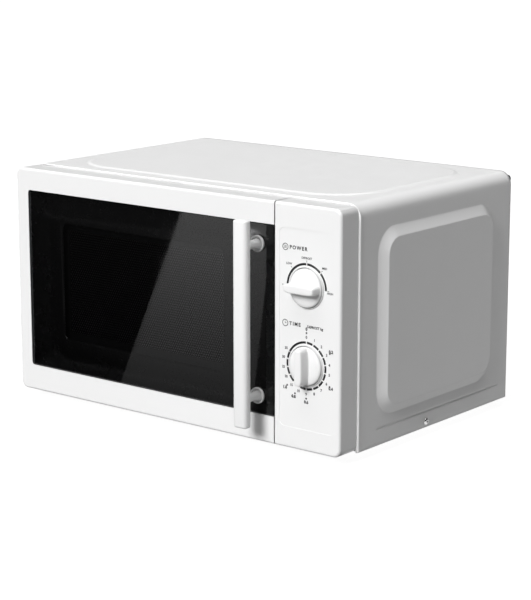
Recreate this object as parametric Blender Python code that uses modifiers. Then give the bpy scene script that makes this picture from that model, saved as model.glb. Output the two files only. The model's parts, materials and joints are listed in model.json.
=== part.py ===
"""Countertop microwave oven with two dials and a glass door hinged on its left side.

Lengths are metres. The shape functions take drawing coordinates: x from the left edge of the
front, y back from the plane of the front, z up from the underside of the housing. place() turns
them into the part's frame, where the oven faces -Y and the origin is on the floor under its middle.
"""
import math

import bmesh
import bpy
from mathutils import Matrix
from mathutils import Vector

# Driving dimensions
WIDTH = 0.4400            # door and control panel together
HEIGHT = 0.2464           # front, without the feet
DEPTH = 0.3000            # front plane to the back of the housing
FRONT_DEPTH = 0.0276      # thickness of the door and of the control panel
FRONT_RADIUS = 0.0028     # its rounded front edges
FOOT_HEIGHT = 0.0100
HANDLE_REACH = 0.0310     # front of the handle, ahead of the front plane
SPACER_REACH = 0.0120     # rear spacers, behind the housing
SHEET = 0.0010            # steel sheet
WALL = 0.0024             # moulded walls
GAP = 0.0003              # between pieces that touch

# Housing
PROUD = 0.0012            # the cabinet stands out from the front by this much
CABINET_FRONT = 0.0299
CABINET_RADIUS = 0.0140   # its two long top edges
EMBOSS_RAISE = 0.0066
EMBOSS_BEVEL = 0.0112
FRAME_FRONT = 0.0300      # front face of the steel front frame
FRAME_BACK = 0.0312

# Oven cavity, inside faces
CAVITY_LEFT = 0.0280
CAVITY_RIGHT = 0.3340
CAVITY_FLOOR = 0.0200
CAVITY_TOP = 0.2220
CAVITY_BACK = 0.2883
CAVITY_RADIUS = 0.0080

# Door
DOOR_RIGHT = 0.3581
SEAM = 0.0016             # between the door and the control panel
HINGE_X = 0.0075
HINGE_Y = 0.0195
GLASS_LEFT = 0.0177
GLASS_BOTTOM = 0.0283
GLASS_TOP = 0.2229
GLASS_THICK = 0.0031
SCREEN_FRONT = 0.0090     # front of the perforated screen
SCREEN_BACK = 0.0284      # face of the door that meets the frame
HANDLE_X = 0.3385
HANDLE_LOW = 0.0477       # heights of the two handle posts
HANDLE_HIGH = 0.2022
LATCH_X = 0.3516

# Controls
DIAL_X = 0.3985
POWER_Z = 0.1651
TIMER_Z = 0.0872
KNOB_RADIUS = 0.0210
KNOB_REACH = 0.0145
SHAFT_RADIUS = 0.0030

# Turntable and fan
TABLE_X = (CAVITY_LEFT + CAVITY_RIGHT) / 2
TABLE_Y = 0.1600
PLATE_RADIUS = 0.1225
ROLLER_TRACK = 0.0850     # radius of the rollers' path
ROLLER_RADIUS = 0.0070
FAN_X = 0.3880
FAN_Z = 0.1650
FAN_RADIUS = 0.0400

BEYOND = 0.0200           # how far a cutter runs past the faces it cuts through
ORIGIN = Vector((-WIDTH / 2, (HANDLE_REACH - DEPTH - SPACER_REACH) / 2, FOOT_HEIGHT))


def clear_scene():
    for item in list(bpy.data.objects):
        bpy.data.objects.remove(item, do_unlink=True)


def new_collection(name):
    collection = bpy.data.collections.new(name)
    bpy.context.scene.collection.children.link(collection)
    return collection


def new_material(name, colour, roughness, metallic=0.0):
    material = bpy.data.materials.new(name)
    material.use_nodes = True
    shader = material.node_tree.nodes["Principled BSDF"]
    shader.inputs["Base Color"].default_value = (*colour, 1.0)
    shader.inputs["Roughness"].default_value = roughness
    shader.inputs["Metallic"].default_value = metallic
    material.diffuse_color = (*colour, 1.0)
    return material


clear_scene()
PARTS = new_collection("microwave_oven")
CUTTERS = new_collection("cutters")
WHITE_PAINT = new_material("white_paint", (0.83, 0.83, 0.83), 0.35)
WHITE_PLASTIC = new_material("white_plastic", (0.87, 0.87, 0.86), 0.30)
BLACK_GLASS = new_material("black_glass", (0.01, 0.01, 0.01), 0.05)
CLEAR_GLASS = new_material("clear_glass", (0.80, 0.86, 0.84), 0.05)
CAVITY_ENAMEL = new_material("cavity_enamel", (0.62, 0.62, 0.60), 0.35)
BLACK_PLASTIC = new_material("black_plastic", (0.03, 0.03, 0.03), 0.50)
GREY_PLASTIC = new_material("grey_plastic", (0.35, 0.35, 0.35), 0.45)
ZINC_STEEL = new_material("zinc_steel", (0.60, 0.60, 0.58), 0.40, 0.9)
BRIGHT_STEEL = new_material("bright_steel", (0.75, 0.75, 0.75), 0.25, 1.0)
COPPER_WIRE = new_material("copper_winding", (0.55, 0.25, 0.10), 0.45, 0.6)
MICA_SHEET = new_material("mica", (0.55, 0.50, 0.38), 0.50)
GREEN_BOARD = new_material("circuit_board", (0.10, 0.30, 0.14), 0.50)


def place(x, y, z):
    return Vector((x, y, z)) + ORIGIN


def add_object(name, mesh, material):
    item = bpy.data.objects.new(name, mesh)
    if material is None:
        CUTTERS.objects.link(item)
        item.hide_render = True
        item.display_type = "WIRE"
    else:
        PARTS.objects.link(item)
        mesh.materials.append(material)
    return item


def finish_mesh(name, shape, material, smooth_angle=None):
    """Make an object of a bmesh whose points are in drawing coordinates."""
    bmesh.ops.translate(shape, verts=shape.verts, vec=ORIGIN)
    bmesh.ops.recalc_face_normals(shape, faces=shape.faces)
    mesh = bpy.data.meshes.new(name)
    shape.to_mesh(mesh)
    shape.free()
    if smooth_angle is not None:
        mesh.shade_smooth()
        mesh.set_sharp_from_angle(angle=math.radians(smooth_angle))
    return add_object(name, mesh, material)


def box_shape(low, high):
    shape = bmesh.new()
    low = Vector(low)
    high = Vector(high)
    size = Matrix.Diagonal((*(high - low), 1.0))
    bmesh.ops.create_cube(shape, size=1.0, matrix=Matrix.Translation((low + high) / 2) @ size)
    return shape


def round_edges(shape, radius, segments, wanted):
    """Round the edges whose two end points satisfy wanted(a, b)."""
    edges = [edge for edge in shape.edges if wanted(edge.verts[0].co, edge.verts[1].co)]
    bmesh.ops.bevel(shape, geom=edges, offset=radius, segments=segments, profile=0.5,
                    affect="EDGES")


def block(name, low, high, material=None):
    return finish_mesh(name, box_shape(low, high), material)


def rounded_block(name, low, high, radius, segments, axis, material=None):
    """A block whose edges along one axis are rounded, or all of its edges with axis None."""
    shape = box_shape(low, high)

    def wanted(a, b):
        return axis is None or abs((b - a)[axis]) > 1e-6

    round_edges(shape, radius, segments, wanted)
    return finish_mesh(name, shape, material, 40)


def rod(name, start, end, radius, sides, material=None, end_radius=None):
    """A cylinder or a cone between two points."""
    start = Vector(start)
    end = Vector(end)
    turn = (end - start).to_track_quat("Z", "Y").to_matrix().to_4x4()
    shape = bmesh.new()
    bmesh.ops.create_cone(shape, cap_ends=True, segments=sides, radius1=radius,
                          radius2=radius if end_radius is None else end_radius,
                          depth=(end - start).length,
                          matrix=Matrix.Translation((start + end) / 2) @ turn)
    return finish_mesh(name, shape, material, 40)


def turned(name, centre, direction, profile, steps, material=None):
    """A profile of (radius, height) points, from its top down, turned about an axis."""
    mesh = bpy.data.meshes.new(name)
    count = len(profile)
    closed = profile[0][0] > 0 and profile[-1][0] > 0
    edges = [(i, i + 1) for i in range(count - 1)]
    if closed:
        edges.append((count - 1, 0))
    mesh.from_pydata([(radius, 0, height) for radius, height in profile], edges, [])
    item = add_object(name, mesh, material)
    item.location = place(*centre)
    item.rotation_euler = Vector(direction).to_track_quat("Z", "Y").to_euler()
    screw = item.modifiers.new("turn", "SCREW")
    screw.steps = steps
    screw.render_steps = steps
    screw.use_merge_vertices = True
    screw.merge_threshold = 0.00001
    return item


def loft(name, sections, material=None, smooth_angle=40):
    """A closed solid through sections that have the same number of points."""
    shape = bmesh.new()
    rings = [[shape.verts.new(point) for point in section] for section in sections]
    count = len(rings[0])
    for first, second in zip(rings, rings[1:]):
        for i in range(count):
            j = (i + 1) % count
            shape.faces.new((first[i], first[j], second[j], second[i]))
    shape.faces.new(rings[0])
    shape.faces.new(rings[-1])
    return finish_mesh(name, shape, material, smooth_angle)


def rounded_outline(low, high, radius, steps):
    """Points round a rectangle with round corners, in a plane."""
    points = []
    corners = ((high[0], high[1], 0), (low[0], high[1], 90),
               (low[0], low[1], 180), (high[0], low[1], 270))
    middle = ((low[0] + high[0]) / 2, (low[1] + high[1]) / 2)
    for u, v, start in corners:
        centre_u = u - math.copysign(radius, u - middle[0])
        centre_v = v - math.copysign(radius, v - middle[1])
        for i in range(steps + 1):
            angle = math.radians(start + 90 * i / steps)
            points.append((centre_u + radius * math.cos(angle),
                           centre_v + radius * math.sin(angle)))
    return points


def carve(item, *tools, operation="DIFFERENCE"):
    """Cut the tools out of an object, or join them to it with operation UNION."""
    for tool in tools:
        boolean = item.modifiers.new(tool.name, "BOOLEAN")
        boolean.operation = operation
        boolean.solver = "EXACT"
        boolean.object = tool
    return item


def join(item, *tools):
    return carve(item, *tools, operation="UNION")


def pivot(name, point, *items):
    """Hang objects on an empty that stands on their joint's axis."""
    empty = bpy.data.objects.new(name, None)
    empty.empty_display_size = 0.02
    empty.location = place(*point)
    PARTS.objects.link(empty)
    for item in items:
        item.parent = empty
        item.matrix_parent_inverse = Matrix.Translation(-empty.location)
    return empty


# ---------------------------------------------------------------- housing

def side_emboss(name, level, raise_by, inset):
    """The raised field on one side; inset shrinks it for the inside of the sheet."""
    low = (0.0580, 0.0285)
    high = (0.2665, 0.2205)
    base = rounded_outline((low[0] + inset, low[1] + inset), (high[0] - inset, high[1] - inset),
                           0.028 - inset, 6)
    run = EMBOSS_BEVEL + inset
    top = rounded_outline((low[0] + run, low[1] + run), (high[0] - run, high[1] - run),
                          0.028 - run, 6)
    foot = level - math.copysign(SHEET, raise_by)
    return loft(name, [[(foot, y, z) for y, z in base],
                       [(level, y, z) for y, z in base],
                       [(level + raise_by, y, z) for y, z in top]])


def top_emboss(name, level, inset):
    """The slightly raised field on top."""
    raise_by = 0.0015
    bevel = 0.0025
    low = (0.0300, 0.0464)
    high = (0.4130, 0.2800)
    base = rounded_outline((low[0] + inset, low[1] + inset), (high[0] - inset, high[1] - inset),
                           0.057 - inset, 8)
    run = bevel + inset
    top = rounded_outline((low[0] + run, low[1] + run), (high[0] - run, high[1] - run),
                          0.057 - run, 8)
    return loft(name, [[(x, y, level - SHEET) for x, y in base],
                       [(x, y, level) for x, y in base],
                       [(x, y, level + raise_by) for x, y in top]])


def cabinet_body(name, offset, front, back, bottom, material=None):
    """A block with the cabinet's outline, offset inwards."""
    shape = box_shape((offset - PROUD, front, bottom),
                      (WIDTH + PROUD - offset, back, HEIGHT + PROUD - offset))

    def along_top(a, b):
        return abs(b.y - a.y) > 1e-6 and a.z > HEIGHT / 2

    round_edges(shape, CABINET_RADIUS - offset, 5, along_top)
    return finish_mesh(name, shape, material, 40)


def outer_cabinet():
    cabinet = cabinet_body("outer_cabinet", 0, CABINET_FRONT, DEPTH, 0, WHITE_PAINT)
    right = WIDTH + PROUD
    left = -PROUD
    join(cabinet,
         side_emboss("emboss_right_outside", right, EMBOSS_RAISE, 0),
         side_emboss("emboss_left_outside", left, -EMBOSS_RAISE, 0),
         top_emboss("emboss_top_outside", HEIGHT + PROUD, 0))
    hollow = cabinet_body("cabinet_hollow", SHEET, CABINET_FRONT - BEYOND, DEPTH + BEYOND, -BEYOND)
    join(hollow,
         side_emboss("emboss_right_inside", right - SHEET, EMBOSS_RAISE, SHEET / 2),
         side_emboss("emboss_left_inside", left + SHEET, -EMBOSS_RAISE, SHEET / 2),
         top_emboss("emboss_top_inside", HEIGHT + PROUD - SHEET, SHEET / 2))
    carve(cabinet, hollow, side_screw_hole("cabinet_screw_holes"))
    return cabinet


SIDE_SCREW = (0.146, 0.0066)      # y and z of the screw on each side


def side_screw_hole(name):
    y, z = SIDE_SCREW
    return rod(name, (-BEYOND, y, z), (WIDTH + BEYOND, y, z), 0.0019, 12)


def base_plate():
    """A pan with a flange up each side, inside the cabinet."""
    plate = block("base_plate", (0.0003, 0.0316, 0.0004), (0.4397, 0.2979, 0.0130), ZINC_STEEL)
    inside = block("base_plate_inside", (0.0015, 0.0316 - BEYOND, 0.0016),
                   (0.4385, 0.2979 + BEYOND, 0.0330))
    carve(plate, inside, side_screw_hole("base_screw_holes"))
    for index, (x, y) in enumerate(foot_places()):
        carve(plate, rod(f"foot_hole_{index}", (x, y, -BEYOND), (x, y, BEYOND), 0.0030, 12))
    return plate


def foot_places():
    return [(x, y) for x in (0.050, 0.390) for y in (0.075, 0.262)]


def feet():
    names = ("foot_front_left", "foot_rear_left", "foot_front_right", "foot_rear_right")
    profile = [(0, 0.0050), (0.0026, 0.0050), (0.0026, 0.0001), (0.0110, 0.0001),
               (0.0100, 0.0012 - FOOT_HEIGHT), (0.0090, -FOOT_HEIGHT), (0, -FOOT_HEIGHT)]
    return [turned(name, (x, y, 0), (0, 0, 1), profile, 20, BLACK_PLASTIC)
            for name, (x, y) in zip(names, foot_places())]


REAR_SCREWS = ((0.060, 0.232), (0.330, 0.232))
SPACERS = ((0.0095, 0.2380), (0.4305, 0.2380))
GLAND = (0.412, 0.040)


def vent_slots(name, x, z, width, rows, step):
    """A column of level slots, centred on x and z."""
    slots = []
    for row in range(rows):
        height = z + (row - (rows - 1) / 2) * step
        slots.append(block(f"{name}_{row}", (x - width / 2, DEPTH - BEYOND, height - 0.0016),
                           (x + width / 2, DEPTH + BEYOND, height + 0.0016)))
    return slots


def rear_panel():
    panel = cabinet_body("rear_panel", SHEET + GAP, DEPTH - 0.0017, DEPTH - 0.0006, 0.0022,
                         ZINC_STEEL)
    carve(panel, *vent_slots("fan_slot", FAN_X, FAN_Z, 0.066, 9, 0.0080))
    carve(panel, *vent_slots("exhaust_slot", 0.110, 0.205, 0.060, 4, 0.0080))
    for index, (x, z) in enumerate(REAR_SCREWS):
        carve(panel, rod(f"rear_screw_hole_{index}", (x, DEPTH - BEYOND, z),
                         (x, DEPTH + BEYOND, z), 0.0019, 12))
    for index, (x, z) in enumerate(SPACERS):
        carve(panel, rod(f"spacer_hole_{index}", (x, DEPTH - BEYOND, z),
                         (x, DEPTH + BEYOND, z), 0.0024, 12))
    x, z = GLAND
    carve(panel, rod("gland_hole", (x, DEPTH - BEYOND, z), (x, DEPTH + BEYOND, z), 0.0068, 16))
    return panel


def rear_fittings():
    """The two spacers, the cord's gland and the screws."""
    spacer = [(0, SPACER_REACH), (0.0025, SPACER_REACH), (0.0040, SPACER_REACH - 0.0016),
              (0.0040, 0.0004 - 0.0006 + 0.0001), (0.0020, 0.0004 - 0.0006 + 0.0001),
              (0.0020, -0.0040), (0, -0.0040)]
    for name, (x, z) in zip(("rear_spacer_left", "rear_spacer_right"), SPACERS):
        turned(name, (x, DEPTH, z), (0, 1, 0), spacer, 16, BLACK_PLASTIC)
    gland = [(0.0035, 0.0040), (0.0075, 0.0040), (0.0085, 0.0030), (0.0085, -0.0002),
             (0.0065, -0.0002), (0.0065, -0.0080), (0.0035, -0.0080)]
    x, z = GLAND
    turned("cord_gland", (x, DEPTH, z), (0, 1, 0), gland, 20, BLACK_PLASTIC)
    screw = [(0, 0.0020), (0.0024, 0.0018), (0.0036, 0.0004), (0.0036, -0.0002),
             (0.0015, -0.0002), (0.0015, -0.0070), (0, -0.0070)]
    for name, (x, z) in zip(("rear_screw_left", "rear_screw_right"), REAR_SCREWS):
        turned(name, (x, DEPTH, z), (0, 1, 0), screw, 16, BRIGHT_STEEL)
    y, z = SIDE_SCREW
    seat = PROUD + 0.0005
    turned("side_screw_right", (WIDTH + seat, y, z), (1, 0, 0), screw, 16, BRIGHT_STEEL)
    turned("side_screw_left", (-seat, y, z), (-1, 0, 0), screw, 16, BRIGHT_STEEL)


def front_frame():
    frame = cabinet_body("front_frame", SHEET + GAP, FRAME_FRONT, FRAME_BACK, 0.0004, ZINC_STEEL)
    front = FRAME_FRONT - BEYOND
    back = FRAME_BACK + BEYOND
    carve(frame,
          rounded_block("cavity_mouth", (CAVITY_LEFT, front, CAVITY_FLOOR),
                        (CAVITY_RIGHT, back, CAVITY_TOP), CAVITY_RADIUS, 3, 1),
          block("bay_mouth", (0.371, front, 0.020), (0.427, back, 0.230)))
    for name, z in (("upper", LATCH_HIGH), ("lower", LATCH_LOW)):
        carve(frame, block(f"{name}_latch_slot", (LATCH_X - 0.0045, front, z - 0.0100),
                           (LATCH_X + 0.0045, back, z + 0.0120)))
    for name, low, high in hinge_levels():
        carve(frame, block(f"{name}_leaf_slot", (HINGE_X - 0.0047, front, low - 0.0005),
                           (HINGE_X + 0.0047, back, high + 0.0005)))
    return frame


# ---------------------------------------------------------------- hinges and latch

def hinge_levels():
    """Each hinge leaf's name, lower face and upper face."""
    return (("upper", 0.2360, 0.2380), ("lower", 0.0084, 0.0104))


def hinges():
    """Each hinge is a leaf through the frame, with a pin, welded to a plate behind the frame."""
    for name, low, high in hinge_levels():
        hinge = block(f"{name}_hinge", (HINGE_X - 0.0043, HINGE_Y, low),
                      (HINGE_X + 0.0043, 0.0325, high), ZINC_STEEL)
        eye = rod(f"{name}_hinge_eye", (HINGE_X, HINGE_Y, low), (HINGE_X, HINGE_Y, high), 0.0043, 16)
        inward = low - 0.0085 if name == "upper" else high + 0.0085
        root = (low + high) / 2
        pin = rod(f"{name}_hinge_pin", (HINGE_X, HINGE_Y, min(root, inward)),
                  (HINGE_X, HINGE_Y, max(root, inward)), 0.0020, 16)
        plate = block(f"{name}_hinge_plate", (0.0020, 0.0316, min(low, inward - 0.004)),
                      (0.0180, 0.0330, max(high, inward + 0.004)))
        join(hinge, eye, pin, plate)


LATCH_LOW = 0.0560
LATCH_HIGH = 0.1900


def latch_slide():
    """The sprung bar inside the door with its two hooks."""
    left = LATCH_X - 0.0020
    right = LATCH_X + 0.0020
    bar = block("latch_slide", (left, 0.0120, LATCH_LOW - 0.014), (right, 0.0200, LATCH_HIGH + 0.014),
                GREY_PLASTIC)
    for name, z in (("upper", LATCH_HIGH), ("lower", LATCH_LOW)):
        join(bar,
             block(f"{name}_hook_arm", (left, 0.0150, z - 0.0035), (right, 0.0440, z + 0.0035)),
             block(f"{name}_hook_nose", (left, 0.0390, z - 0.0065), (right, 0.0440, z + 0.0030)))
    return bar


def latch_spring():
    """A coil spring that pulls the slide down."""
    turns = 5
    points_per_turn = 8
    radius = 0.0018
    low = 0.0285
    high = LATCH_LOW - 0.0146
    curve = bpy.data.curves.new("latch_spring", "CURVE")
    curve.dimensions = "3D"
    curve.bevel_depth = 0.00035
    curve.bevel_resolution = 1
    curve.use_fill_caps = True
    spline = curve.splines.new("POLY")
    count = turns * points_per_turn
    spline.points.add(count)
    for i in range(count + 1):
        angle = 2 * math.pi * i / points_per_turn
        at = place(LATCH_X + radius * math.cos(angle), 0.0160 + radius * math.sin(angle),
                   low + (high - low) * i / count)
        spline.points[i].co = (*at, 1.0)
    item = bpy.data.objects.new("latch_spring", curve)
    curve.materials.append(BRIGHT_STEEL)
    PARTS.objects.link(item)
    return item


def latch_board():
    """The plastic board behind the frame that catches the hooks and carries the switches."""
    board = block("latch_board", (0.3400, 0.0316, 0.0300), (0.3600, 0.0500, 0.2160), GREY_PLASTIC)
    carve(board, block("board_hollow", (0.3415, 0.0335, 0.0750), (0.3700, 0.0600, 0.1700)))
    for name, z in (("upper", LATCH_HIGH), ("lower", LATCH_LOW)):
        carve(board, block(f"{name}_hook_pocket", (LATCH_X - 0.0048, 0.0200, z - 0.0120),
                           (LATCH_X + 0.0048, 0.0480, z + 0.0130)))
    return board


def door_switches():
    for name, z in (("primary_switch", 0.152), ("monitor_switch", 0.122), ("secondary_switch", 0.092)):
        body = block(name, (0.3470, 0.0340, z - 0.0140), (0.3570, 0.0500, z + 0.0140),
                     BLACK_PLASTIC)
        button = rod(f"{name}_button", (0.3520, 0.0480, z + 0.006), (0.3520, 0.0520, z + 0.006),
                     0.0015, 8)
        tab = block(f"{name}_tab", (0.3560, 0.0380, z - 0.010), (0.3620, 0.0388, z - 0.004))
        join(body, button, tab)


# ---------------------------------------------------------------- control panel and knobs

def front_moulding(name, left, right, round_left):
    """The outside of the door or of the control panel, rounded where the front ends."""
    shape = box_shape((left, 0, 0), (right, FRONT_DEPTH, HEIGHT))
    end = left if round_left else right

    def end_corner(a, b):
        return abs(b.y - a.y) > 1e-6 and abs(a.x - end) < 1e-6

    def front_end(a, b):
        return a.y < 1e-6 and b.y < 1e-6 and not (abs(a.x - b.x) < 1e-6
                                                  and abs(a.x - (left + right - end)) < 1e-6)

    round_edges(shape, 0.0080, 5, end_corner)
    round_edges(shape, FRONT_RADIUS, 4, front_end)
    return finish_mesh(name, shape, WHITE_PLASTIC, 30)


def control_panel():
    left = DOOR_RIGHT + SEAM
    panel = front_moulding("control_panel", left, WIDTH, False)
    carve(panel, block("panel_hollow", (left + WALL, WALL + 0.0005, WALL),
                       (WIDTH - WALL, FRONT_DEPTH + BEYOND, HEIGHT - WALL)))
    for index, (x, z) in enumerate(((0.3650, 0.2360), (0.3650, 0.0100),
                                    (0.4320, 0.2340), (0.4320, 0.0120))):
        join(panel, rod(f"panel_boss_{index}", (x, WALL, z), (x, FRAME_FRONT - GAP, z), 0.0040, 12))
    carve(panel, rounded_block("panel_field", (0.3650, -BEYOND, 0.0220), (0.4330, 0.0005, 0.2220),
                               0.0060, 4, 1))
    for name, z in (("power", POWER_Z), ("timer", TIMER_Z)):
        carve(panel, rod(f"{name}_hole", (DIAL_X, -BEYOND, z), (DIAL_X, BEYOND, z), 0.0066, 20))
    return panel


def grip_outline(half_length, half_width, power, y, z, upright):
    """A rounded outline of a knob's grip; a higher power makes it squarer."""
    points = []
    count = 28
    for i in range(count):
        angle = 2 * math.pi * (i + 0.5) / count
        along = half_length * math.copysign(abs(math.cos(angle)) ** (2 / power), math.cos(angle))
        across = half_width * math.copysign(abs(math.sin(angle)) ** (2 / power), math.sin(angle))
        u, v = (-across, along) if upright else (along, across)
        points.append((DIAL_X + u, y, z + v))
    return points


def knob(name, z, upright):
    """A domed skirt and a stem, with a grip across the skirt, and the shaft inside the stem."""
    back = 0.0010
    bore = SHAFT_RADIUS + GAP
    skirt = [(0, 0.0052), (0.0080, 0.0050), (0.0150, 0.0044), (0.0196, 0.0034),
             (KNOB_RADIUS, 0.0026), (KNOB_RADIUS, back), (0.0055, back), (0.0055, -0.0120),
             (bore, -0.0120), (bore, 0.0040), (0, 0.0040)]
    item = turned(name, (DIAL_X, 0, z), (0, -1, 0), skirt, 36, WHITE_PLASTIC)
    grip = loft(f"{name}_grip",
                [grip_outline(0.0195, 0.0092, 2.4, -0.0022, z, upright),
                 grip_outline(0.0188, 0.0066, 3.4, -0.0070, z, upright),
                 grip_outline(0.0180, 0.0052, 5.0, 0.0016 - KNOB_REACH, z, upright),
                 grip_outline(0.0168, 0.0042, 5.0, -KNOB_REACH, z, upright)])
    bore_tool = rod(f"{name}_bore", (DIAL_X, BEYOND, z), (DIAL_X, -0.0040, z), bore, 16)
    carve(join(item, grip), bore_tool)
    shaft = rod(name.replace("knob", "shaft"), (DIAL_X, -0.0034, z), (DIAL_X, 0.0420, z),
                SHAFT_RADIUS, 16, BRIGHT_STEEL)
    pivot(name.replace("knob", "pivot"), (DIAL_X, 0, z), item, shaft)


def timer_unit():
    """The clockwork timer and power selector in one housing, with its bell."""
    unit = block("timer_unit", (0.3725, 0.0340, 0.0620), (0.4255, 0.0720, 0.1880), WHITE_PLASTIC)
    for name, z in (("selector", POWER_Z), ("timer", TIMER_Z)):
        carve(unit, rod(f"{name}_bearing", (DIAL_X, 0, z), (DIAL_X, 0.0440, z), 0.0034, 16))
    bell = [(0, 0.0110), (0.0090, 0.0100), (0.0150, 0.0060), (0.0175, 0.0),
            (0.0165, 0.0), (0.0140, 0.0052), (0.0085, 0.0090), (0, 0.0100)]
    turned("bell", (DIAL_X, 0.0723, 0.1250), (0, 1, 0), bell, 20, BRIGHT_STEEL)
    return unit


# ---------------------------------------------------------------- door

def hinge_boss(name, low, high):
    """The round boss in the door that turns on a hinge pin."""
    return rod(name, (HINGE_X, HINGE_Y, low), (HINGE_X, HINGE_Y, high), 0.0056, 20)


def door_frame():
    frame = front_moulding("door_frame", 0, DOOR_RIGHT, True)
    front_wall = GLASS_THICK + 2 * GAP + 0.0022
    carve(frame,
          block("door_hollow", (WALL, front_wall, WALL),
                (DOOR_RIGHT - WALL, FRONT_DEPTH + BEYOND, HEIGHT - WALL)),
          rounded_block("glass_seat", (GLASS_LEFT, -BEYOND, GLASS_BOTTOM),
                        (DOOR_RIGHT + BEYOND, GLASS_THICK + GAP, GLASS_TOP), 0.0030, 3, 1),
          block("door_window", (0.064, -BEYOND, 0.060), (0.300, BEYOND, 0.196)))
    join(frame, hinge_boss("upper_boss", 0.2250, 0.2350), hinge_boss("lower_boss", 0.0114, 0.0214))
    carve(frame, rod("pin_bore", (HINGE_X, HINGE_Y, 0.0105), (HINGE_X, HINGE_Y, 0.2359), 0.0024, 16))
    for name, low, high in hinge_levels():
        carve(frame, block(f"{name}_leaf_notch", (-BEYOND, HINGE_Y - 0.0085, low - 0.0010),
                           (0.0190, FRONT_DEPTH + BEYOND, high + 0.0010)))
    turn = 0.0025
    carve(frame, loft("rear_corner_relief",
                      [[(-0.001, FRONT_DEPTH - turn - 0.001, z), (turn + 0.001, FRONT_DEPTH + 0.001, z),
                        (-0.001, FRONT_DEPTH + 0.001, z)] for z in (-BEYOND, HEIGHT + BEYOND)]))
    for name, z in (("lower", HANDLE_LOW), ("upper", HANDLE_HIGH)):
        carve(frame, rod(f"{name}_frame_hole", (HANDLE_X, -BEYOND, z), (HANDLE_X, 0.0100, z),
                         0.0024, 12))
    return frame


def door_glass():
    glass = rounded_block("door_glass", (GLASS_LEFT + GAP, 0, GLASS_BOTTOM + GAP),
                          (DOOR_RIGHT - 0.0002, GLASS_THICK, GLASS_TOP - GAP), 0.0027, 3, 1,
                          BLACK_GLASS)
    for name, z in (("lower", HANDLE_LOW), ("upper", HANDLE_HIGH)):
        carve(glass, rod(f"{name}_glass_hole", (HANDLE_X, -BEYOND, z), (HANDLE_X, BEYOND, z),
                         0.0024, 12))
    return glass


SCREEN_LOW = (0.0220, 0.0140)
SCREEN_HIGH = (0.3480, 0.2320)
RECESS_LOW = (0.0580, 0.0540)
RECESS_HIGH = (0.3020, 0.2020)


def door_screen():
    """The steel inner door: a screen close to the glass, with a choke channel all round."""
    screen = block("door_screen", (SCREEN_LOW[0], SCREEN_FRONT, SCREEN_LOW[1]),
                   (SCREEN_HIGH[0], SCREEN_BACK, SCREEN_HIGH[1]), BLACK_PLASTIC)
    recess = rounded_block("screen_recess", (RECESS_LOW[0], SCREEN_FRONT + SHEET, RECESS_LOW[1]),
                           (RECESS_HIGH[0], SCREEN_BACK + BEYOND, RECESS_HIGH[1]), 0.0060, 3, 1)
    sheet = 0.0012
    channel = block("choke_channel", (SCREEN_LOW[0] + sheet, SCREEN_FRONT - BEYOND,
                                      SCREEN_LOW[1] + sheet),
                    (SCREEN_HIGH[0] - sheet, SCREEN_BACK - sheet, SCREEN_HIGH[1] - sheet))
    core = rounded_block("choke_core", (RECESS_LOW[0] - sheet, SCREEN_FRONT - 2 * BEYOND,
                                        RECESS_LOW[1] - sheet),
                         (RECESS_HIGH[0] + sheet, SCREEN_BACK + BEYOND, RECESS_HIGH[1] + sheet),
                         0.0072, 3, 1)
    carve(channel, core)
    carve(screen, channel, recess)
    return screen


def choke_cover():
    cover = rounded_block("choke_cover", (0.0240, SCREEN_BACK + GAP, 0.0160),
                          (0.3460, FRAME_FRONT - GAP, 0.2300), 0.0060, 3, 1, WHITE_PLASTIC)
    carve(cover, rounded_block("choke_cover_window",
                               (RECESS_LOW[0] - 0.001, 0, RECESS_LOW[1] - 0.001),
                               (RECESS_HIGH[0] + 0.001, 0.040, RECESS_HIGH[1] + 0.001),
                               0.0070, 3, 1))
    return cover


def inner_window():
    return rounded_block("inner_window", (RECESS_LOW[0] + GAP, 0.0262, RECESS_LOW[1] + GAP),
                         (RECESS_HIGH[0] - GAP, 0.0272, RECESS_HIGH[1] - GAP), 0.0057, 3, 1,
                         CLEAR_GLASS)


def handle_bar():
    """The upright bar with its two posts."""
    half_width = 0.0086
    shape = box_shape((HANDLE_X - half_width, -HANDLE_REACH, 0.0200),
                      (HANDLE_X + half_width, -0.0205, 0.2290))
    round_edges(shape, 0.0046, 4, lambda a, b: abs(a.z - b.z) > 1e-6)
    round_edges(shape, 0.0030, 3, lambda a, b: abs(a.z - b.z) < 1e-6)
    bar = finish_mesh("handle_bar", shape, WHITE_PLASTIC, 40)
    for name, z in (("lower", HANDLE_LOW), ("upper", HANDLE_HIGH)):
        join(bar, rod(f"{name}_post", (HANDLE_X, -0.0036, z), (HANDLE_X, -0.0240, z),
                      0.0050, 20))
        carve(bar, rod(f"{name}_post_bore", (HANDLE_X, 0, z), (HANDLE_X, -0.0150, z), 0.0024, 12))
    return bar


def handle_fittings():
    """The collars under the posts and the screws that hold the handle from inside the door."""
    collar = [(0.0024, 0.0033), (0.0062, 0.0033), (0.0072, 0.0026), (0.0080, 0.0003),
              (0.0024, 0.0003)]
    screw = [(0, 0.0140), (0.0020, 0.0140), (0.0020, -0.0060), (0.0040, -0.0060),
             (0.0036, -0.0078), (0, -0.0084)]
    fittings = []
    for name, z in (("lower", HANDLE_LOW), ("upper", HANDLE_HIGH)):
        fittings.append(turned(f"handle_collar_{name}", (HANDLE_X, 0, z), (0, -1, 0), collar, 24,
                               WHITE_PLASTIC))
        fittings.append(turned(f"handle_screw_{name}", (HANDLE_X, 0, z), (0, -1, 0), screw, 12,
                               BRIGHT_STEEL))
    return fittings


# ---------------------------------------------------------------- cavity and turntable

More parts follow.
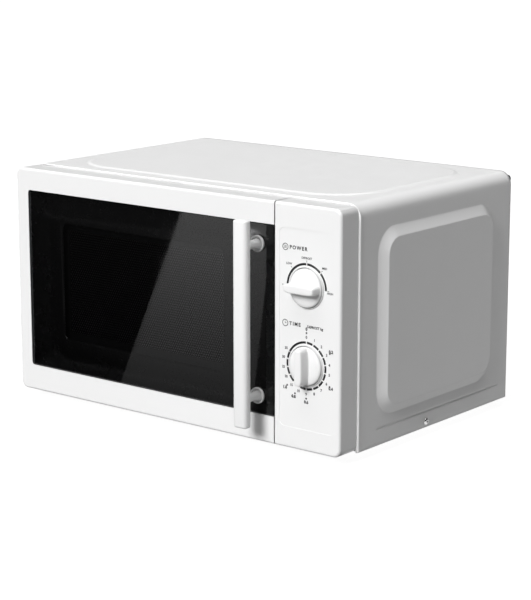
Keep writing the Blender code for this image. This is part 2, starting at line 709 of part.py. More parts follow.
def cavity_shape(name, offset, front, material=None):
    shape = box_shape((CAVITY_LEFT - offset, front, CAVITY_FLOOR - offset),
                      (CAVITY_RIGHT + offset, CAVITY_BACK + offset, CAVITY_TOP + offset))
    round_edges(shape, CAVITY_RADIUS + offset, 3,
                lambda a, b: max(a.y, b.y) > CAVITY_BACK - 1e-6)
    return finish_mesh(name, shape, material, 40)


WAVEGUIDE_LOW = (0.130, 0.132)      # y and z
WAVEGUIDE_HIGH = (0.225, 0.200)


def oven_cavity():
    cavity = cavity_shape("oven_cavity", SHEET, FRAME_BACK + GAP, CAVITY_ENAMEL)
    carve(cavity,
          cavity_shape("cavity_inside", 0, FRAME_BACK - BEYOND),
          rod("drive_hole", (TABLE_X, TABLE_Y, 0), (TABLE_X, TABLE_Y, 0.040), 0.0080, 20),
          block("waveguide_mouth", (CAVITY_RIGHT - BEYOND, 0.150, 0.142),
                (CAVITY_RIGHT + BEYOND, 0.205, 0.190)),
          rod("lamp_hole", (CAVITY_RIGHT - BEYOND, 0.095, 0.196), (CAVITY_RIGHT + BEYOND, 0.095, 0.196),
              0.0090, 16))
    return cavity


def waveguide():
    outside = CAVITY_RIGHT + SHEET + GAP
    guide = block("waveguide", (outside, WAVEGUIDE_LOW[0], WAVEGUIDE_LOW[1]),
                  (0.3530, WAVEGUIDE_HIGH[0], WAVEGUIDE_HIGH[1]), ZINC_STEEL)
    carve(guide,
          block("waveguide_inside", (outside - BEYOND, WAVEGUIDE_LOW[0] + SHEET,
                                     WAVEGUIDE_LOW[1] + SHEET),
                (0.3520, WAVEGUIDE_HIGH[0] - SHEET, WAVEGUIDE_HIGH[1] - SHEET)),
          rod("antenna_hole", (0.340, 0.178, 0.166), (0.360, 0.178, 0.166), 0.0105, 20))
    cover = CAVITY_RIGHT - GAP
    block("waveguide_cover", (cover - 0.0006, 0.140, 0.130), (cover, 0.215, 0.200), MICA_SHEET)


def magnetron():
    tube = block("magnetron", (0.3540, 0.1400, 0.1330), (0.4050, 0.2160, 0.1990), ZINC_STEEL)
    for index in range(5):
        x = 0.3620 + index * 0.0085
        carve(tube, block(f"fin_slot_{index}", (x, 0.1300, 0.1390), (x + 0.0050, 0.1680, 0.1930)),
              block(f"fin_slot_back_{index}", (x, 0.1880, 0.1390), (x + 0.0050, 0.2260, 0.1930)))
    join(tube,
         block("filter_box", (0.4040, 0.1560, 0.1440), (0.4320, 0.2000, 0.1880)),
         rod("antenna", (0.3420, 0.178, 0.166), (0.3550, 0.178, 0.166), 0.0085, 20))
    return tube


def transformer():
    core = block("hv_transformer", (0.3480, 0.1100, 0.0030), (0.4240, 0.1800, 0.0640), ZINC_STEEL)
    join(core,
         rounded_block("winding", (0.3570, 0.0960, 0.0130), (0.4150, 0.1940, 0.0540), 0.0080, 3, 1),
         block("transformer_foot", (0.3420, 0.1160, 0.0022), (0.4300, 0.1740, 0.0042)))
    return core


def capacitor():
    can = rounded_block("hv_capacitor", (0.3450, 0.2120, 0.0022), (0.3790, 0.2660, 0.0860), 0.0160, 5, 2,
                        BRIGHT_STEEL)
    for index, y in enumerate((0.2280, 0.2500)):
        join(can, block(f"terminal_{index}", (0.3590, y - 0.0030, 0.0850), (0.3600, y + 0.0030, 0.0960)))
    return can


def filter_board():
    board = block("noise_filter_board", (0.3450, 0.2150, 0.2190), (0.4050, 0.2900, 0.2206),
                  GREEN_BOARD)
    join(board,
         block("board_capacitor", (0.3500, 0.2200, 0.2200), (0.3620, 0.2420, 0.2330)),
         block("board_choke", (0.3700, 0.2220, 0.2200), (0.3900, 0.2420, 0.2380)),
         rod("board_fuse", (0.3520, 0.2600, 0.2230), (0.3720, 0.2600, 0.2230), 0.0030, 12))
    return board


def lamp():
    holder = block("cavity_lamp", (0.3400, 0.0850, 0.1860), (0.3520, 0.1050, 0.2060), WHITE_PLASTIC)
    bulb = rod("lamp_bulb", (0.3356, 0.095, 0.196), (0.3410, 0.095, 0.196), 0.0060, 14)
    join(holder, bulb)
    return holder


def thermal_cutout():
    disc = rod("thermal_cutout", (0.3354, 0.2500, 0.1700), (0.3400, 0.2500, 0.1700), 0.0080, 16,
               BRIGHT_STEEL)
    join(disc, rod("cutout_cap", (0.3390, 0.2500, 0.1700), (0.3440, 0.2500, 0.1700), 0.0060, 16))
    return disc


def turntable_motor():
    """A flat geared motor under the cavity, with a bearing for the coupler's stem."""
    motor = rod("turntable_motor", (TABLE_X, TABLE_Y, 0.0034), (TABLE_X, TABLE_Y, 0.0165), 0.0240, 28,
                ZINC_STEEL)
    join(motor, block("motor_ears", (TABLE_X - 0.0320, TABLE_Y - 0.0060, 0.0150),
                      (TABLE_X + 0.0320, TABLE_Y + 0.0060, 0.0165)))
    carve(motor, rod("motor_bearing", (TABLE_X, TABLE_Y, 0.0080), (TABLE_X, TABLE_Y, 0.0300),
                     0.0044, 16))
    return motor


def roller_angles():
    return [math.radians(90 + 120 * index) for index in range(3)]


PLATE_UNDERSIDE = CAVITY_FLOOR + 0.0003 + 2 * ROLLER_RADIUS + 0.0003


def turntable():
    """The drive coupler, the glass plate on it, and the roller ring underneath."""
    lip = PLATE_UNDERSIDE - 0.0004
    coupler = turned("drive_coupler", (TABLE_X, TABLE_Y, 0), (0, 0, 1),
                     [(0, lip), (0.0060, lip), (0.0060, lip - 0.0040), (0.0130, lip - 0.0045),
                      (0.0130, CAVITY_FLOOR + 0.0020), (0.0070, CAVITY_FLOOR + 0.0010),
                      (0.0040, 0.0186), (0.0040, 0.0090), (0, 0.0090)], 24, WHITE_PLASTIC)
    for index, angle in enumerate(roller_angles()):
        reach = Vector((math.cos(angle), math.sin(angle)))
        start = (TABLE_X + 0.003 * reach.x, TABLE_Y + 0.003 * reach.y, lip - 0.0032)
        end = (TABLE_X + 0.0128 * reach.x, TABLE_Y + 0.0128 * reach.y, lip - 0.0032)
        join(coupler, rod(f"coupler_lobe_{index}", start, end, 0.0028, 12))
    base = PLATE_UNDERSIDE
    plate = turned("glass_turntable", (TABLE_X, TABLE_Y, 0), (0, 0, 1),
                   [(0, base + 0.0045), (0.0960, base + 0.0045), (0.1040, base + 0.0060),
                    (0.1170, base + 0.0120), (0.1205, base + 0.0140), (PLATE_RADIUS, base + 0.0135),
                    (PLATE_RADIUS, base + 0.0110), (0.1190, base + 0.0085), (0.1060, base + 0.0020),
                    (0.0970, base), (0, base)], 44, CLEAR_GLASS)
    pivot("turntable_pivot", (TABLE_X, TABLE_Y, base), coupler, plate)


def roller_ring():
    """A ring with three outward axles, and a roller on each."""
    level = CAVITY_FLOOR + 0.0003 + ROLLER_RADIUS
    inner = 0.0700
    outer = 0.0760
    half = 0.0030
    ring = turned("roller_ring", (TABLE_X, TABLE_Y, 0), (0, 0, 1),
                  [(inner, level + half), (outer, level + half), (outer, level - half),
                   (inner, level - half)], 40, WHITE_PLASTIC)
    for index, angle in enumerate(roller_angles()):
        def along(distance):
            return (TABLE_X + distance * math.cos(angle), TABLE_Y + distance * math.sin(angle),
                    level)

        join(ring, rod(f"axle_{index}", along(0.0740), along(0.0905), 0.0018, 12))
        wheel = turned(f"roller_{index + 1}", along(ROLLER_TRACK - 0.0030),
                       (math.cos(angle), math.sin(angle), 0),
                       [(0.0022, 0.0060), (0.0062, 0.0060), (ROLLER_RADIUS, 0.0050),
                        (ROLLER_RADIUS, 0.0010), (0.0062, 0), (0.0022, 0)], 20, WHITE_PLASTIC)
        pivot(f"roller_{index + 1}_pivot", along(ROLLER_TRACK), wheel)
    pivot("ring_pivot", (TABLE_X, TABLE_Y, level), ring)


# ---------------------------------------------------------------- fan

def fan():
    """The shroud on the rear panel, the motor on two arms, and the blade on its shaft."""
    half = 0.0470
    shroud = block("fan_shroud", (FAN_X - half, 0.2700, FAN_Z - half), (FAN_X + half, 0.2976, FAN_Z + half),
                   GREY_PLASTIC)
    carve(shroud, rod("shroud_bore", (FAN_X, 0.2600, FAN_Z), (FAN_X, 0.3100, FAN_Z),
                      FAN_RADIUS + 0.0030, 32))
    motor = block("fan_motor", (FAN_X - 0.0200, 0.2380, FAN_Z - 0.0160),
                  (FAN_X + 0.0200, 0.2640, FAN_Z + 0.0160), ZINC_STEEL)
    for index, z in enumerate((FAN_Z - 0.0130, FAN_Z + 0.0130)):
        join(motor, block(f"motor_arm_{index}", (FAN_X - half, 0.2640 - 0.002, z - 0.0030),
                          (FAN_X + half, 0.2697, z + 0.0030)))
    carve(motor, block("arm_gap", (FAN_X - 0.0440, 0.2642, FAN_Z - 0.0300),
                       (FAN_X + 0.0440, 0.2800, FAN_Z + 0.0300)),
          rod("motor_bore", (FAN_X, 0.2480, FAN_Z), (FAN_X, 0.2700, FAN_Z), 0.0030, 12))
    hub = rod("fan_blade", (FAN_X, 0.2720, FAN_Z), (FAN_X, 0.2900, FAN_Z), 0.0100, 20, GREY_PLASTIC)
    join(hub, rod("fan_shaft", (FAN_X, 0.2500, FAN_Z), (FAN_X, 0.2730, FAN_Z), 0.0020, 12))
    count = 5
    for index in range(count):
        around = Matrix.Rotation(2 * math.pi * index / count, 4, "Y")
        twist = Matrix.Rotation(math.radians(38), 4, "X")
        shape = box_shape((0.0080, -0.0085, -0.0006), (FAN_RADIUS, 0.0085, 0.0006))
        centre = Matrix.Translation((FAN_X, 0.2810, FAN_Z))
        bmesh.ops.transform(shape, matrix=centre @ around @ twist, verts=shape.verts)
        join(hub, finish_mesh(f"blade_{index}", shape, None))
    pivot("fan_pivot", (FAN_X, 0.2810, FAN_Z), hub)


def build():
    outer_cabinet()
    base_plate()
    feet()
    rear_panel()
    rear_fittings()
    front_frame()
    hinges()
    latch_board()
    door_switches()
    control_panel()
    timer_unit()
    oven_cavity()
    waveguide()
    magnetron()
    transformer()
    capacitor()
    filter_board()
    lamp()
    thermal_cutout()
    turntable_motor()
    fan()
    turntable()
    roller_ring()
    knob("power_knob", POWER_Z, False)
    knob("timer_knob", TIMER_Z, True)
    slide = latch_slide()
    door_pieces = [door_frame(), door_glass(), door_screen(), choke_cover(), inner_window(),
                   handle_bar(), latch_spring(), *handle_fittings()]
    door = pivot("door_pivot", (HINGE_X, HINGE_Y, 0), *door_pieces)
    latch = pivot("latch_pivot", (LATCH_X, 0.0160, (LATCH_LOW + LATCH_HIGH) / 2), slide)
    latch.parent = door
    latch.matrix_parent_inverse = Matrix.Translation(-door.location)


build()
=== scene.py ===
"""Finished look of a countertop microwave oven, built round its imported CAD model."""
import json
import math

import bmesh
import bpy
from bpy.props import FloatProperty, FloatVectorProperty, IntProperty, PointerProperty
from bpy.types import Operator, Panel, PropertyGroup
from mathutils import Matrix, Vector


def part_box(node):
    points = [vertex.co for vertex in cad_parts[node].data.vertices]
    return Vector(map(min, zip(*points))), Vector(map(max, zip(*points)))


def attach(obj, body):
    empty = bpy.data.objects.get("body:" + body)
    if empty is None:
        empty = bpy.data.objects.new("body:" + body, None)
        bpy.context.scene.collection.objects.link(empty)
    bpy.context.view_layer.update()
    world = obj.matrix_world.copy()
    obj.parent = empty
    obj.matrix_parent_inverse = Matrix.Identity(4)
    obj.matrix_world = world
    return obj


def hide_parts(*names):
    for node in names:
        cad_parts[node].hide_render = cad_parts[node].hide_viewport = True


bl_info = {
    "name": "Microwave Oven",
    "version": (1, 0, 0),
    "blender": (4, 5, 0),
    "location": "View3D > Sidebar > Oven",
    "description": "Builds the visible pieces of a countertop microwave oven",
    "category": "Object",
}

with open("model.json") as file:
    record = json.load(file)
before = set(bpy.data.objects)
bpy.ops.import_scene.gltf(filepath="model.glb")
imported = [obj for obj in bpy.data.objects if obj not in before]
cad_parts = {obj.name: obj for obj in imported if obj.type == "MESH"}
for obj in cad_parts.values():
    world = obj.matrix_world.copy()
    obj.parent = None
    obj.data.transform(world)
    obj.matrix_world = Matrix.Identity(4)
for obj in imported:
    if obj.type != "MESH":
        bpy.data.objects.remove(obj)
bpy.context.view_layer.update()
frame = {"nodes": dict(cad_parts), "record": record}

DOOR_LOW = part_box("door_frame")[0]
SHELL_LOW, SHELL_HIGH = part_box("outer_cabinet")
LEFT, FRONT, BASE = DOOR_LOW.x, DOOR_LOW.y, SHELL_LOW.z
SLOT_OF = {part["node"]: part["material_slot"] for part in frame["record"]["subparts"]}
BODY_OF = {node: body for body, nodes in frame["record"]["behaviour"]["bodies"].items()
           for node in nodes}


def at(x, y, z):
    """A point x right of the door's left edge, y behind the front, z above the housing's base."""
    return Vector((LEFT + x, FRONT + y, BASE + z))


def middle(node):
    low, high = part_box(node)
    return (low + high) / 2


# ---------------------------------------------------------------- sizes and colours

def length(name, description, default, low, high):
    return FloatProperty(name=name, description=description, default=default, min=low, max=high,
                         unit="LENGTH")


def tone(name, description, *default):
    return FloatVectorProperty(name=name, description=description, default=default, min=0, max=1,
                               subtype="COLOR", size=3)


class OvenSizes(PropertyGroup):
    sheet: length("Sheet", "Thickness of the cabinet's steel", 0.0010, 0.0005, 0.002)
    cabinet_radius: length("Cabinet radius", "Bend along the cabinet's top edges", 0.0140, 0.005, 0.03)
    side_raise: length("Side field", "How far the side fields stand out", 0.0066, 0.0, 0.008)
    side_slope: length("Side slope", "Width of the slope round a side field", 0.0112, 0.004, 0.02)
    top_raise: length("Top field", "How far the top field stands up", 0.0011, 0.0, 0.003)
    groove_depth: length("Groove depth", "Depth of the groove low on each side", 0.0008, 0.0, 0.0009)
    edge_soften: length("Edge softening", "Rounding of moulded edges", 0.00035, 0.0001, 0.001)
    hole_pitch: length("Hole pitch", "Spacing of the holes in the door screen", 0.0030, 0.002, 0.006)
    hole_share: FloatProperty(name="Hole share", description="Hole size as a share of the pitch",
                              default=0.70, min=0.4, max=0.85, subtype="FACTOR")
    ring_radius: length("Dial ring", "Outer radius of the printed dial rings", 0.0246, 0.022, 0.03)
    ring_width: length("Ring width", "Width of the printed dial rings", 0.0023, 0.0005, 0.003)
    knob_steps: IntProperty(name="Knob steps", description="Facets round each knob",
                            default=72, min=24, max=128)


class OvenColours(PropertyGroup):
    paint: tone("Paint", "White powder coat of the cabinet", 0.80, 0.80, 0.80)
    plastic: tone("Plastic", "White plastic of door, panel and dials", 0.76, 0.76, 0.76)
    glass: tone("Glass tint", "Light let through by each face of the glass", 0.50, 0.50, 0.505)
    ink: tone("Ink", "Print on the panel", 0.005, 0.005, 0.006)
    enamel: tone("Enamel", "Light grey enamel of the cavity", 0.58, 0.58, 0.56)


def sizes():
    return bpy.context.scene.oven_sizes


def colours():
    return bpy.context.scene.oven_colours


# ---------------------------------------------------------------- finishes

def set_inputs(node, **values):
    """Sets inputs of a shader node; an underscore stands for the space in an input's name."""
    for key, value in values.items():
        node.inputs[key.replace("_", " ")].default_value = value


def add_node(tree, kind, vector=None, **values):
    """A new shader node with its inputs set, fed by vector if there is one."""
    node = tree.nodes.new("ShaderNode" + kind)
    set_inputs(node, **values)
    if vector is not None:
        tree.links.new(vector, node.inputs["Vector"])
    return node


def start_material(name, colour, roughness, metallic=0.0, coat=0.0):
    material = bpy.data.materials.new(name)
    material.use_nodes = True
    material.diffuse_color = (*colour, 1.0)
    tree = material.node_tree
    shader = tree.nodes["Principled BSDF"]
    set_inputs(shader, Base_Color=(*colour, 1.0), Roughness=roughness, Metallic=metallic,
               Coat_Weight=coat)
    return material, tree, shader, add_node(tree, "TexCoord").outputs["Object"]


def stretched(tree, source, stretch):
    return add_node(tree, "Mapping", source, Scale=stretch).outputs["Vector"]


def noise(tree, source, scale, detail=3.0, roughness=0.5):
    return add_node(tree, "TexNoise", source, Scale=scale, Detail=detail,
                    Roughness=roughness).outputs["Fac"]


def ranged(tree, value, low, high, target, start=0.3, end=0.7):
    change = add_node(tree, "MapRange", From_Min=start, From_Max=end, To_Min=low, To_Max=high)
    tree.links.new(value, change.inputs["Value"])
    tree.links.new(change.outputs["Result"], target)


def blended(tree, value, first, second, target, start=0.3, end=0.7):
    ramp = add_node(tree, "ValToRGB")
    for stop, place, colour in zip(ramp.color_ramp.elements, (start, end), (first, second)):
        stop.position = place
        stop.color = (*colour, 1.0)
    tree.links.new(value, ramp.inputs["Fac"])
    tree.links.new(ramp.outputs["Color"], target)


def relief(tree, value, shader, strength, distance):
    bump = add_node(tree, "Bump", Strength=strength, Distance=distance)
    tree.links.new(value, bump.inputs["Height"])
    tree.links.new(bump.outputs["Normal"], shader.inputs["Normal"])


def shade(colour, share):
    return tuple(min(1.0, c * share) for c in colour)


def surface(name, colour, gloss, grain, grain_height, drift=0.03, metallic=0.0, coat=0.0,
            stretch=(1, 1, 1), patch=14.0):
    """A finish whose tone, gloss and grain all vary over the piece."""
    material, tree, shader, source = start_material(name, colour, sum(gloss) / 2, metallic, coat)
    source = stretched(tree, source, stretch)
    blended(tree, noise(tree, source, patch, 4.0), shade(colour, 1 - drift), shade(colour, 1 + drift),
            shader.inputs["Base Color"])
    ranged(tree, noise(tree, source, patch * 5, 5.0, 0.6), *gloss, shader.inputs["Roughness"])
    relief(tree, noise(tree, source, grain, 2.0), shader, 0.5, grain_height)
    return material


def zinc(name):
    """Zinc plate: a faint spangle over rolled steel."""
    colour = (0.56, 0.56, 0.54)
    material, tree, shader, source = start_material(name, colour, 0.4, 1.0)
    cells = add_node(tree, "TexVoronoi", source, Scale=160)
    spangle = add_node(tree, "SeparateColor")
    tree.links.new(cells.outputs["Color"], spangle.inputs["Color"])
    blended(tree, spangle.outputs["Red"], shade(colour, 0.90), shade(colour, 1.06),
            shader.inputs["Base Color"], 0.0, 1.0)
    ranged(tree, spangle.outputs["Green"], 0.34, 0.48, shader.inputs["Roughness"], 0.0, 1.0)
    relief(tree, noise(tree, stretched(tree, source, (1, 12, 1)), 240, 3.0), shader, 0.3, 0.00004)
    return material


def board(name):
    """Green solder mask with darker tracks between pads."""
    material, tree, shader, source = start_material(name, (0.06, 0.22, 0.09), 0.35)
    tracks = add_node(tree, "TexBrick", source, Scale=90, Mortar_Size=0.06,
                      Mortar=(0.16, 0.36, 0.15, 1), Color1=(0.05, 0.20, 0.08, 1),
                      Color2=(0.07, 0.26, 0.11, 1))
    tree.links.new(tracks.outputs["Color"], shader.inputs["Base Color"])
    ranged(tree, noise(tree, source, 60), 0.28, 0.42, shader.inputs["Roughness"])
    relief(tree, tracks.outputs["Fac"], shader, 0.3, 0.00008)
    return material


def winding(name):
    """Enamelled copper wire in close turns."""
    material, tree, shader, source = start_material(name, (0.42, 0.16, 0.06), 0.35, 0.6)
    turns = add_node(tree, "TexWave", source, Scale=320, Distortion=0.4)
    turns.bands_direction = "Z"
    blended(tree, turns.outputs["Fac"], (0.20, 0.07, 0.03), (0.50, 0.20, 0.08),
            shader.inputs["Base Color"], 0.1, 0.8)
    ranged(tree, noise(tree, source, 90), 0.25, 0.45, shader.inputs["Roughness"])
    relief(tree, turns.outputs["Fac"], shader, 0.6, 0.0002)
    return material


def door_tint(name):
    """Dark tinted glass: a thin film that lets some light straight through, and a clear reflection."""
    material = bpy.data.materials.new(name)
    material.use_nodes = True
    material.diffuse_color = (0.02, 0.02, 0.02, 1.0)
    tree = material.node_tree
    tree.nodes.remove(tree.nodes["Principled BSDF"])
    output = tree.nodes["Material Output"]
    film = add_node(tree, "BsdfTransparent", Color=(*colours().glass, 1.0))
    shine = add_node(tree, "BsdfAnisotropic", Color=(1.0, 1.0, 1.0, 1.0), Roughness=0.02)
    source = add_node(tree, "TexCoord").outputs["Object"]
    ranged(tree, noise(tree, source, 22, 4.0), 0.015, 0.05, shine.inputs["Roughness"], 0.35, 0.7)
    fresnel = add_node(tree, "Fresnel")
    side = add_node(tree, "NewGeometry")
    ranged(tree, side.outputs["Backfacing"], 1.5, 1 / 1.5, fresnel.inputs["IOR"], 0.0, 1.0)
    mix = add_node(tree, "MixShader")
    tree.links.new(fresnel.outputs["Fac"], mix.inputs["Fac"])
    tree.links.new(film.outputs["BSDF"], mix.inputs[1])
    tree.links.new(shine.outputs["BSDF"], mix.inputs[2])
    tree.links.new(mix.outputs["Shader"], output.inputs["Surface"])
    return material


def clear_glass(name):
    """Pressed clear glass with a faint green body and slow waves."""
    material, tree, shader, source = start_material(name, (0.93, 0.97, 0.95), 0.03)
    set_inputs(shader, Transmission_Weight=1.0, IOR=1.48)
    ranged(tree, noise(tree, source, 40, 3.0), 0.01, 0.06, shader.inputs["Roughness"])
    relief(tree, noise(tree, source, 26, 2.0), shader, 0.2, 0.0002)
    return material


# colour (or the name of one of the colours above), gloss from and to, grain scale and height, drift of
# the tone, and what else differs
PLAIN_FINISHES = {
    "white_paint": ("paint", (0.34, 0.42), 700, 0.000012, 0.010, {}),
    # the front edge's paint is a lighter white than the cabinet's paint: a painted highlight for the
    # bright line along the rolled edge
    "edge_paint": ((0.88, 0.88, 0.88), (0.30, 0.38), 700, 0.000005, 0.010, {}),
    "white_plastic": ("plastic", (0.30, 0.34), 600, 0.000002, 0.006, {}),
    "knob_plastic": ("plastic", (0.30, 0.34), 600, 0.000002, 0.006, {}),
    "white_lining": ((0.6992, 0.6992, 0.6992), (0.34, 0.46), 1100, 0.00004, 0.015, {}),
    "glass_print": ((0.0045, 0.0045, 0.0048), (0.22, 0.30), 700, 0.00002, 0.10, {}),
    "ink": ("ink", (0.38, 0.50), 900, 0.00002, 0.15, {}),
    "cavity_enamel": ("enamel", (0.25, 0.38), 420, 0.00010, 0.03, {"coat": 0.2}),
    "black_enamel": ((0.018, 0.018, 0.019), (0.30, 0.42), 800, 0.00005, 0.12, {}),
    "window_film": ((0.82, 0.82, 0.80), (0.30, 0.45), 500, 0.00005, 0.05, {}),
    "bright_steel": ((0.66, 0.66, 0.66), (0.18, 0.32), 600, 0.00003, 0.06,
                     {"metallic": 1.0, "stretch": (1, 1, 9)}),
    "grey_plastic": ((0.26, 0.26, 0.27), (0.45, 0.60), 700, 0.00007, 0.06, {}),
    "black_plastic": ((0.016, 0.016, 0.017), (0.42, 0.58), 800, 0.00007, 0.12, {}),
    "mica": ((0.42, 0.37, 0.26), (0.35, 0.55), 160, 0.00020, 0.18, {"patch": 40}),
    "rubber": ((0.020, 0.020, 0.020), (0.62, 0.80), 500, 0.00012, 0.15, {}),
    "bulb": ((0.78, 0.74, 0.62), (0.10, 0.20), 90, 0.00010, 0.05, {}),
}
MADE_FINISHES = {"door_glass": door_tint, "clear_glass": clear_glass, "zinc_steel": zinc,
                 "circuit_board": board, "copper_winding": winding}


def make_finish(name):
    """The finish with this name, made on first use."""
    key = "oven_" + name
    found = bpy.data.materials.get(key)
    if found is not None:
        return found
    if name in MADE_FINISHES:
        return MADE_FINISHES[name](key)
    colour, gloss, grain, height, drift, more = PLAIN_FINISHES[name]
    if isinstance(colour, str):
        colour = getattr(colours(), colour)
    return surface(key, colour, gloss, grain, height, drift, **more)


# ---------------------------------------------------------------- making pieces

def mesh_of(name, shape):
    """A new mesh from a bmesh, which is freed."""
    mesh = bpy.data.meshes.new(name)
    shape.to_mesh(mesh)
    shape.free()
    return mesh


def placed(name, data):
    """A new object in the scene."""
    made = bpy.data.objects.new(name, data)
    bpy.context.scene.collection.objects.link(made)
    return made


def thickened(piece, thickness, offset):
    """Gives a sheet its thickness."""
    wall = piece.modifiers.new("sheet", "SOLIDIFY")
    wall.thickness = thickness
    wall.offset = offset


def make_piece(name, shape, finish, body, stands_for=(), smooth=35.0, soften=0.0):
    """Turns a bmesh into a finished piece that rides on a body."""
    mesh = mesh_of(name, shape)
    mesh.shade_smooth()
    mesh.set_sharp_from_angle(angle=math.radians(smooth))
    mesh.materials.append(make_finish(finish))
    piece = placed(name, mesh)
    if soften:
        bevel = piece.modifiers.new("softened_edges", "BEVEL")
        bevel.width = soften
        bevel.segments = 2
        bevel.limit_method = "ANGLE"
        bevel.angle_limit = math.radians(40)
        normals = piece.modifiers.new("flat_faces", "WEIGHTED_NORMAL")
        normals.keep_sharp = True
        normals.weight = 90
    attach(piece, body)
    if stands_for:
        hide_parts(*stands_for)
    return piece


def refined(node, finish=None, smooth=35.0, soften=0.0, name=None, change=None):
    """A merged copy of a CAD node with smooth curves, in place of the node."""
    shape = bmesh.new()
    shape.from_mesh(frame["nodes"][node].data)
    bmesh.ops.remove_doubles(shape, verts=shape.verts, dist=0.000005)
    bmesh.ops.dissolve_limit(shape, angle_limit=math.radians(0.4), verts=shape.verts, edges=shape.edges)
    if change is not None:
        change(shape)
    return make_piece(name or node + "_finished", shape, finish or SLOT_OF[node], BODY_OF[node],
                      (node,), smooth, soften)


def box_shape(low, high):
    shape = bmesh.new()
    bmesh.ops.create_cube(shape, size=1.0)
    bmesh.ops.scale(shape, vec=high - low, verts=shape.verts)
    bmesh.ops.translate(shape, vec=(low + high) / 2, verts=shape.verts)
    return shape


def bevel_edges(shape, wanted, radius, segments):
    chosen = [e for e in shape.edges if wanted(e)]
    bmesh.ops.bevel(shape, geom=chosen, offset=radius, offset_type="OFFSET", segments=segments,
                    profile=0.5, affect="EDGES", material=-1)


def along(edge, axis):
    """True if an edge runs along one axis only."""
    run = edge.verts[1].co - edge.verts[0].co
    return all(abs(run[i]) < 1e-7 for i in range(3) if i != axis)


def merge(shape, distance):
    """Joins points that lie together and turns the faces outwards."""
    bmesh.ops.remove_doubles(shape, verts=shape.verts, dist=distance)
    bmesh.ops.recalc_face_normals(shape, faces=shape.faces)


def spun(profile, centre, direction, steps):
    """A closed solid of revolution from (radius, height) points, with height along direction."""
    shape = bmesh.new()
    verts = [shape.verts.new((max(r, 0.0), 0.0, h)) for r, h in profile]
    pairs = list(zip(verts, verts[1:]))
    if profile[0][0] > 0 or profile[-1][0] > 0:
        pairs.append((verts[-1], verts[0]))
    edges = [shape.edges.new(pair) for pair in pairs]
    bmesh.ops.spin(shape, geom=verts + edges, cent=(0, 0, 0), axis=(0, 0, 1), angle=2 * math.pi,
                   steps=steps, use_merge=True, use_duplicate=False)
    merge(shape, 0.000001)
    turn = Vector((0, 0, 1)).rotation_difference(Vector(direction)).to_matrix().to_4x4()
    bmesh.ops.transform(shape, matrix=Matrix.Translation(centre) @ turn, verts=shape.verts)
    return shape


def add_to(shape, *others):
    """Adds the meshes of other bmeshes to a shape."""
    for other in others:
        mesh = mesh_of("part", other)
        shape.from_mesh(mesh)
        bpy.data.meshes.remove(mesh)
    return shape


def cut(piece, cutter):
    """Takes the cutter's shape out of a piece, for good."""
    tool = placed("cutter", mesh_of("cutter", cutter))
    boolean = piece.modifiers.new("cut", "BOOLEAN")
    boolean.operation = "DIFFERENCE"
    boolean.solver = "EXACT"
    boolean.object = tool
    bpy.context.view_layer.update()
    evaluated = piece.evaluated_get(bpy.context.evaluated_depsgraph_get())
    result = bpy.data.meshes.new_from_object(evaluated)
    piece.modifiers.remove(boolean)
    piece.data = result
    bpy.data.objects.remove(tool)


# ---------------------------------------------------------------- cabinet

def inside_by(u, v, low, high, radius):
    """How far a point lies inside a rounded rectangle; negative outside it."""
    centre_u = (low[0] + high[0]) / 2
    centre_v = (low[1] + high[1]) / 2
    over_u = abs(u - centre_u) - ((high[0] - low[0]) / 2 - radius)
    over_v = abs(v - centre_v) - ((high[1] - low[1]) / 2 - radius)
    outside = math.hypot(max(over_u, 0), max(over_v, 0))
    return radius - outside - min(max(over_u, over_v), 0)


def eased(share):
    share = max(0.0, min(1.0, share))
    return share * share * (3 - 2 * share)


def ramped(share):
    """A straight slope with a short bend at its foot and its top."""
    share = max(0.0, min(1.0, share))
    bend = 0.10
    if share < bend:
        return share * share / (2 * bend * (1 - bend))
    if share > 1 - bend:
        return 1 - (1 - share) ** 2 / (2 * bend * (1 - bend))
    return (share - bend / 2) / (1 - bend)


def runs(*stretches):
    """Places along a line: each stretch is (end, step) from the last one's end."""
    places = [0.0]
    for end, step in stretches:
        count = max(1, round((end - places[-1]) / step))
        first = places[-1]
        places += [first + (end - first) * (i + 1) / count for i in range(count)]
    return places


SIDE_FIELD = ((0.0580, 0.0285), (0.2665, 0.2205), 0.028)     # y and z, corner radius
TOP_FIELD = ((0.0300, 0.0464), (0.4130, 0.2800), 0.057)      # x and y, corner radius
GROOVE = (0.0585, 0.2840, 0.0172)                            # y from, y to, and height
PACKED_SIDE_RAISE, PACKED_TOP_RAISE = 0.0066, 0.0015         # of the CAD cabinet's pressed fields
HEM_AHEAD = 0.0020                                           # how far the edge reaches over the gap
HEM = (0.00095, 0.0015)                                      # half its thickness, half its depth


def groove_depth(y, z, s):
    across = abs(z - GROOVE[2]) / 0.0016
    ends = min(y - GROOVE[0], GROOVE[1] - y) / 0.002
    if across < 1 and ends > 0:
        return s.groove_depth * (1 - eased(across)) * eased(ends)
    return 0.0


def top_height(x, y, s):
    return s.top_raise * eased(inside_by(x, y, *TOP_FIELD) / 0.0040)


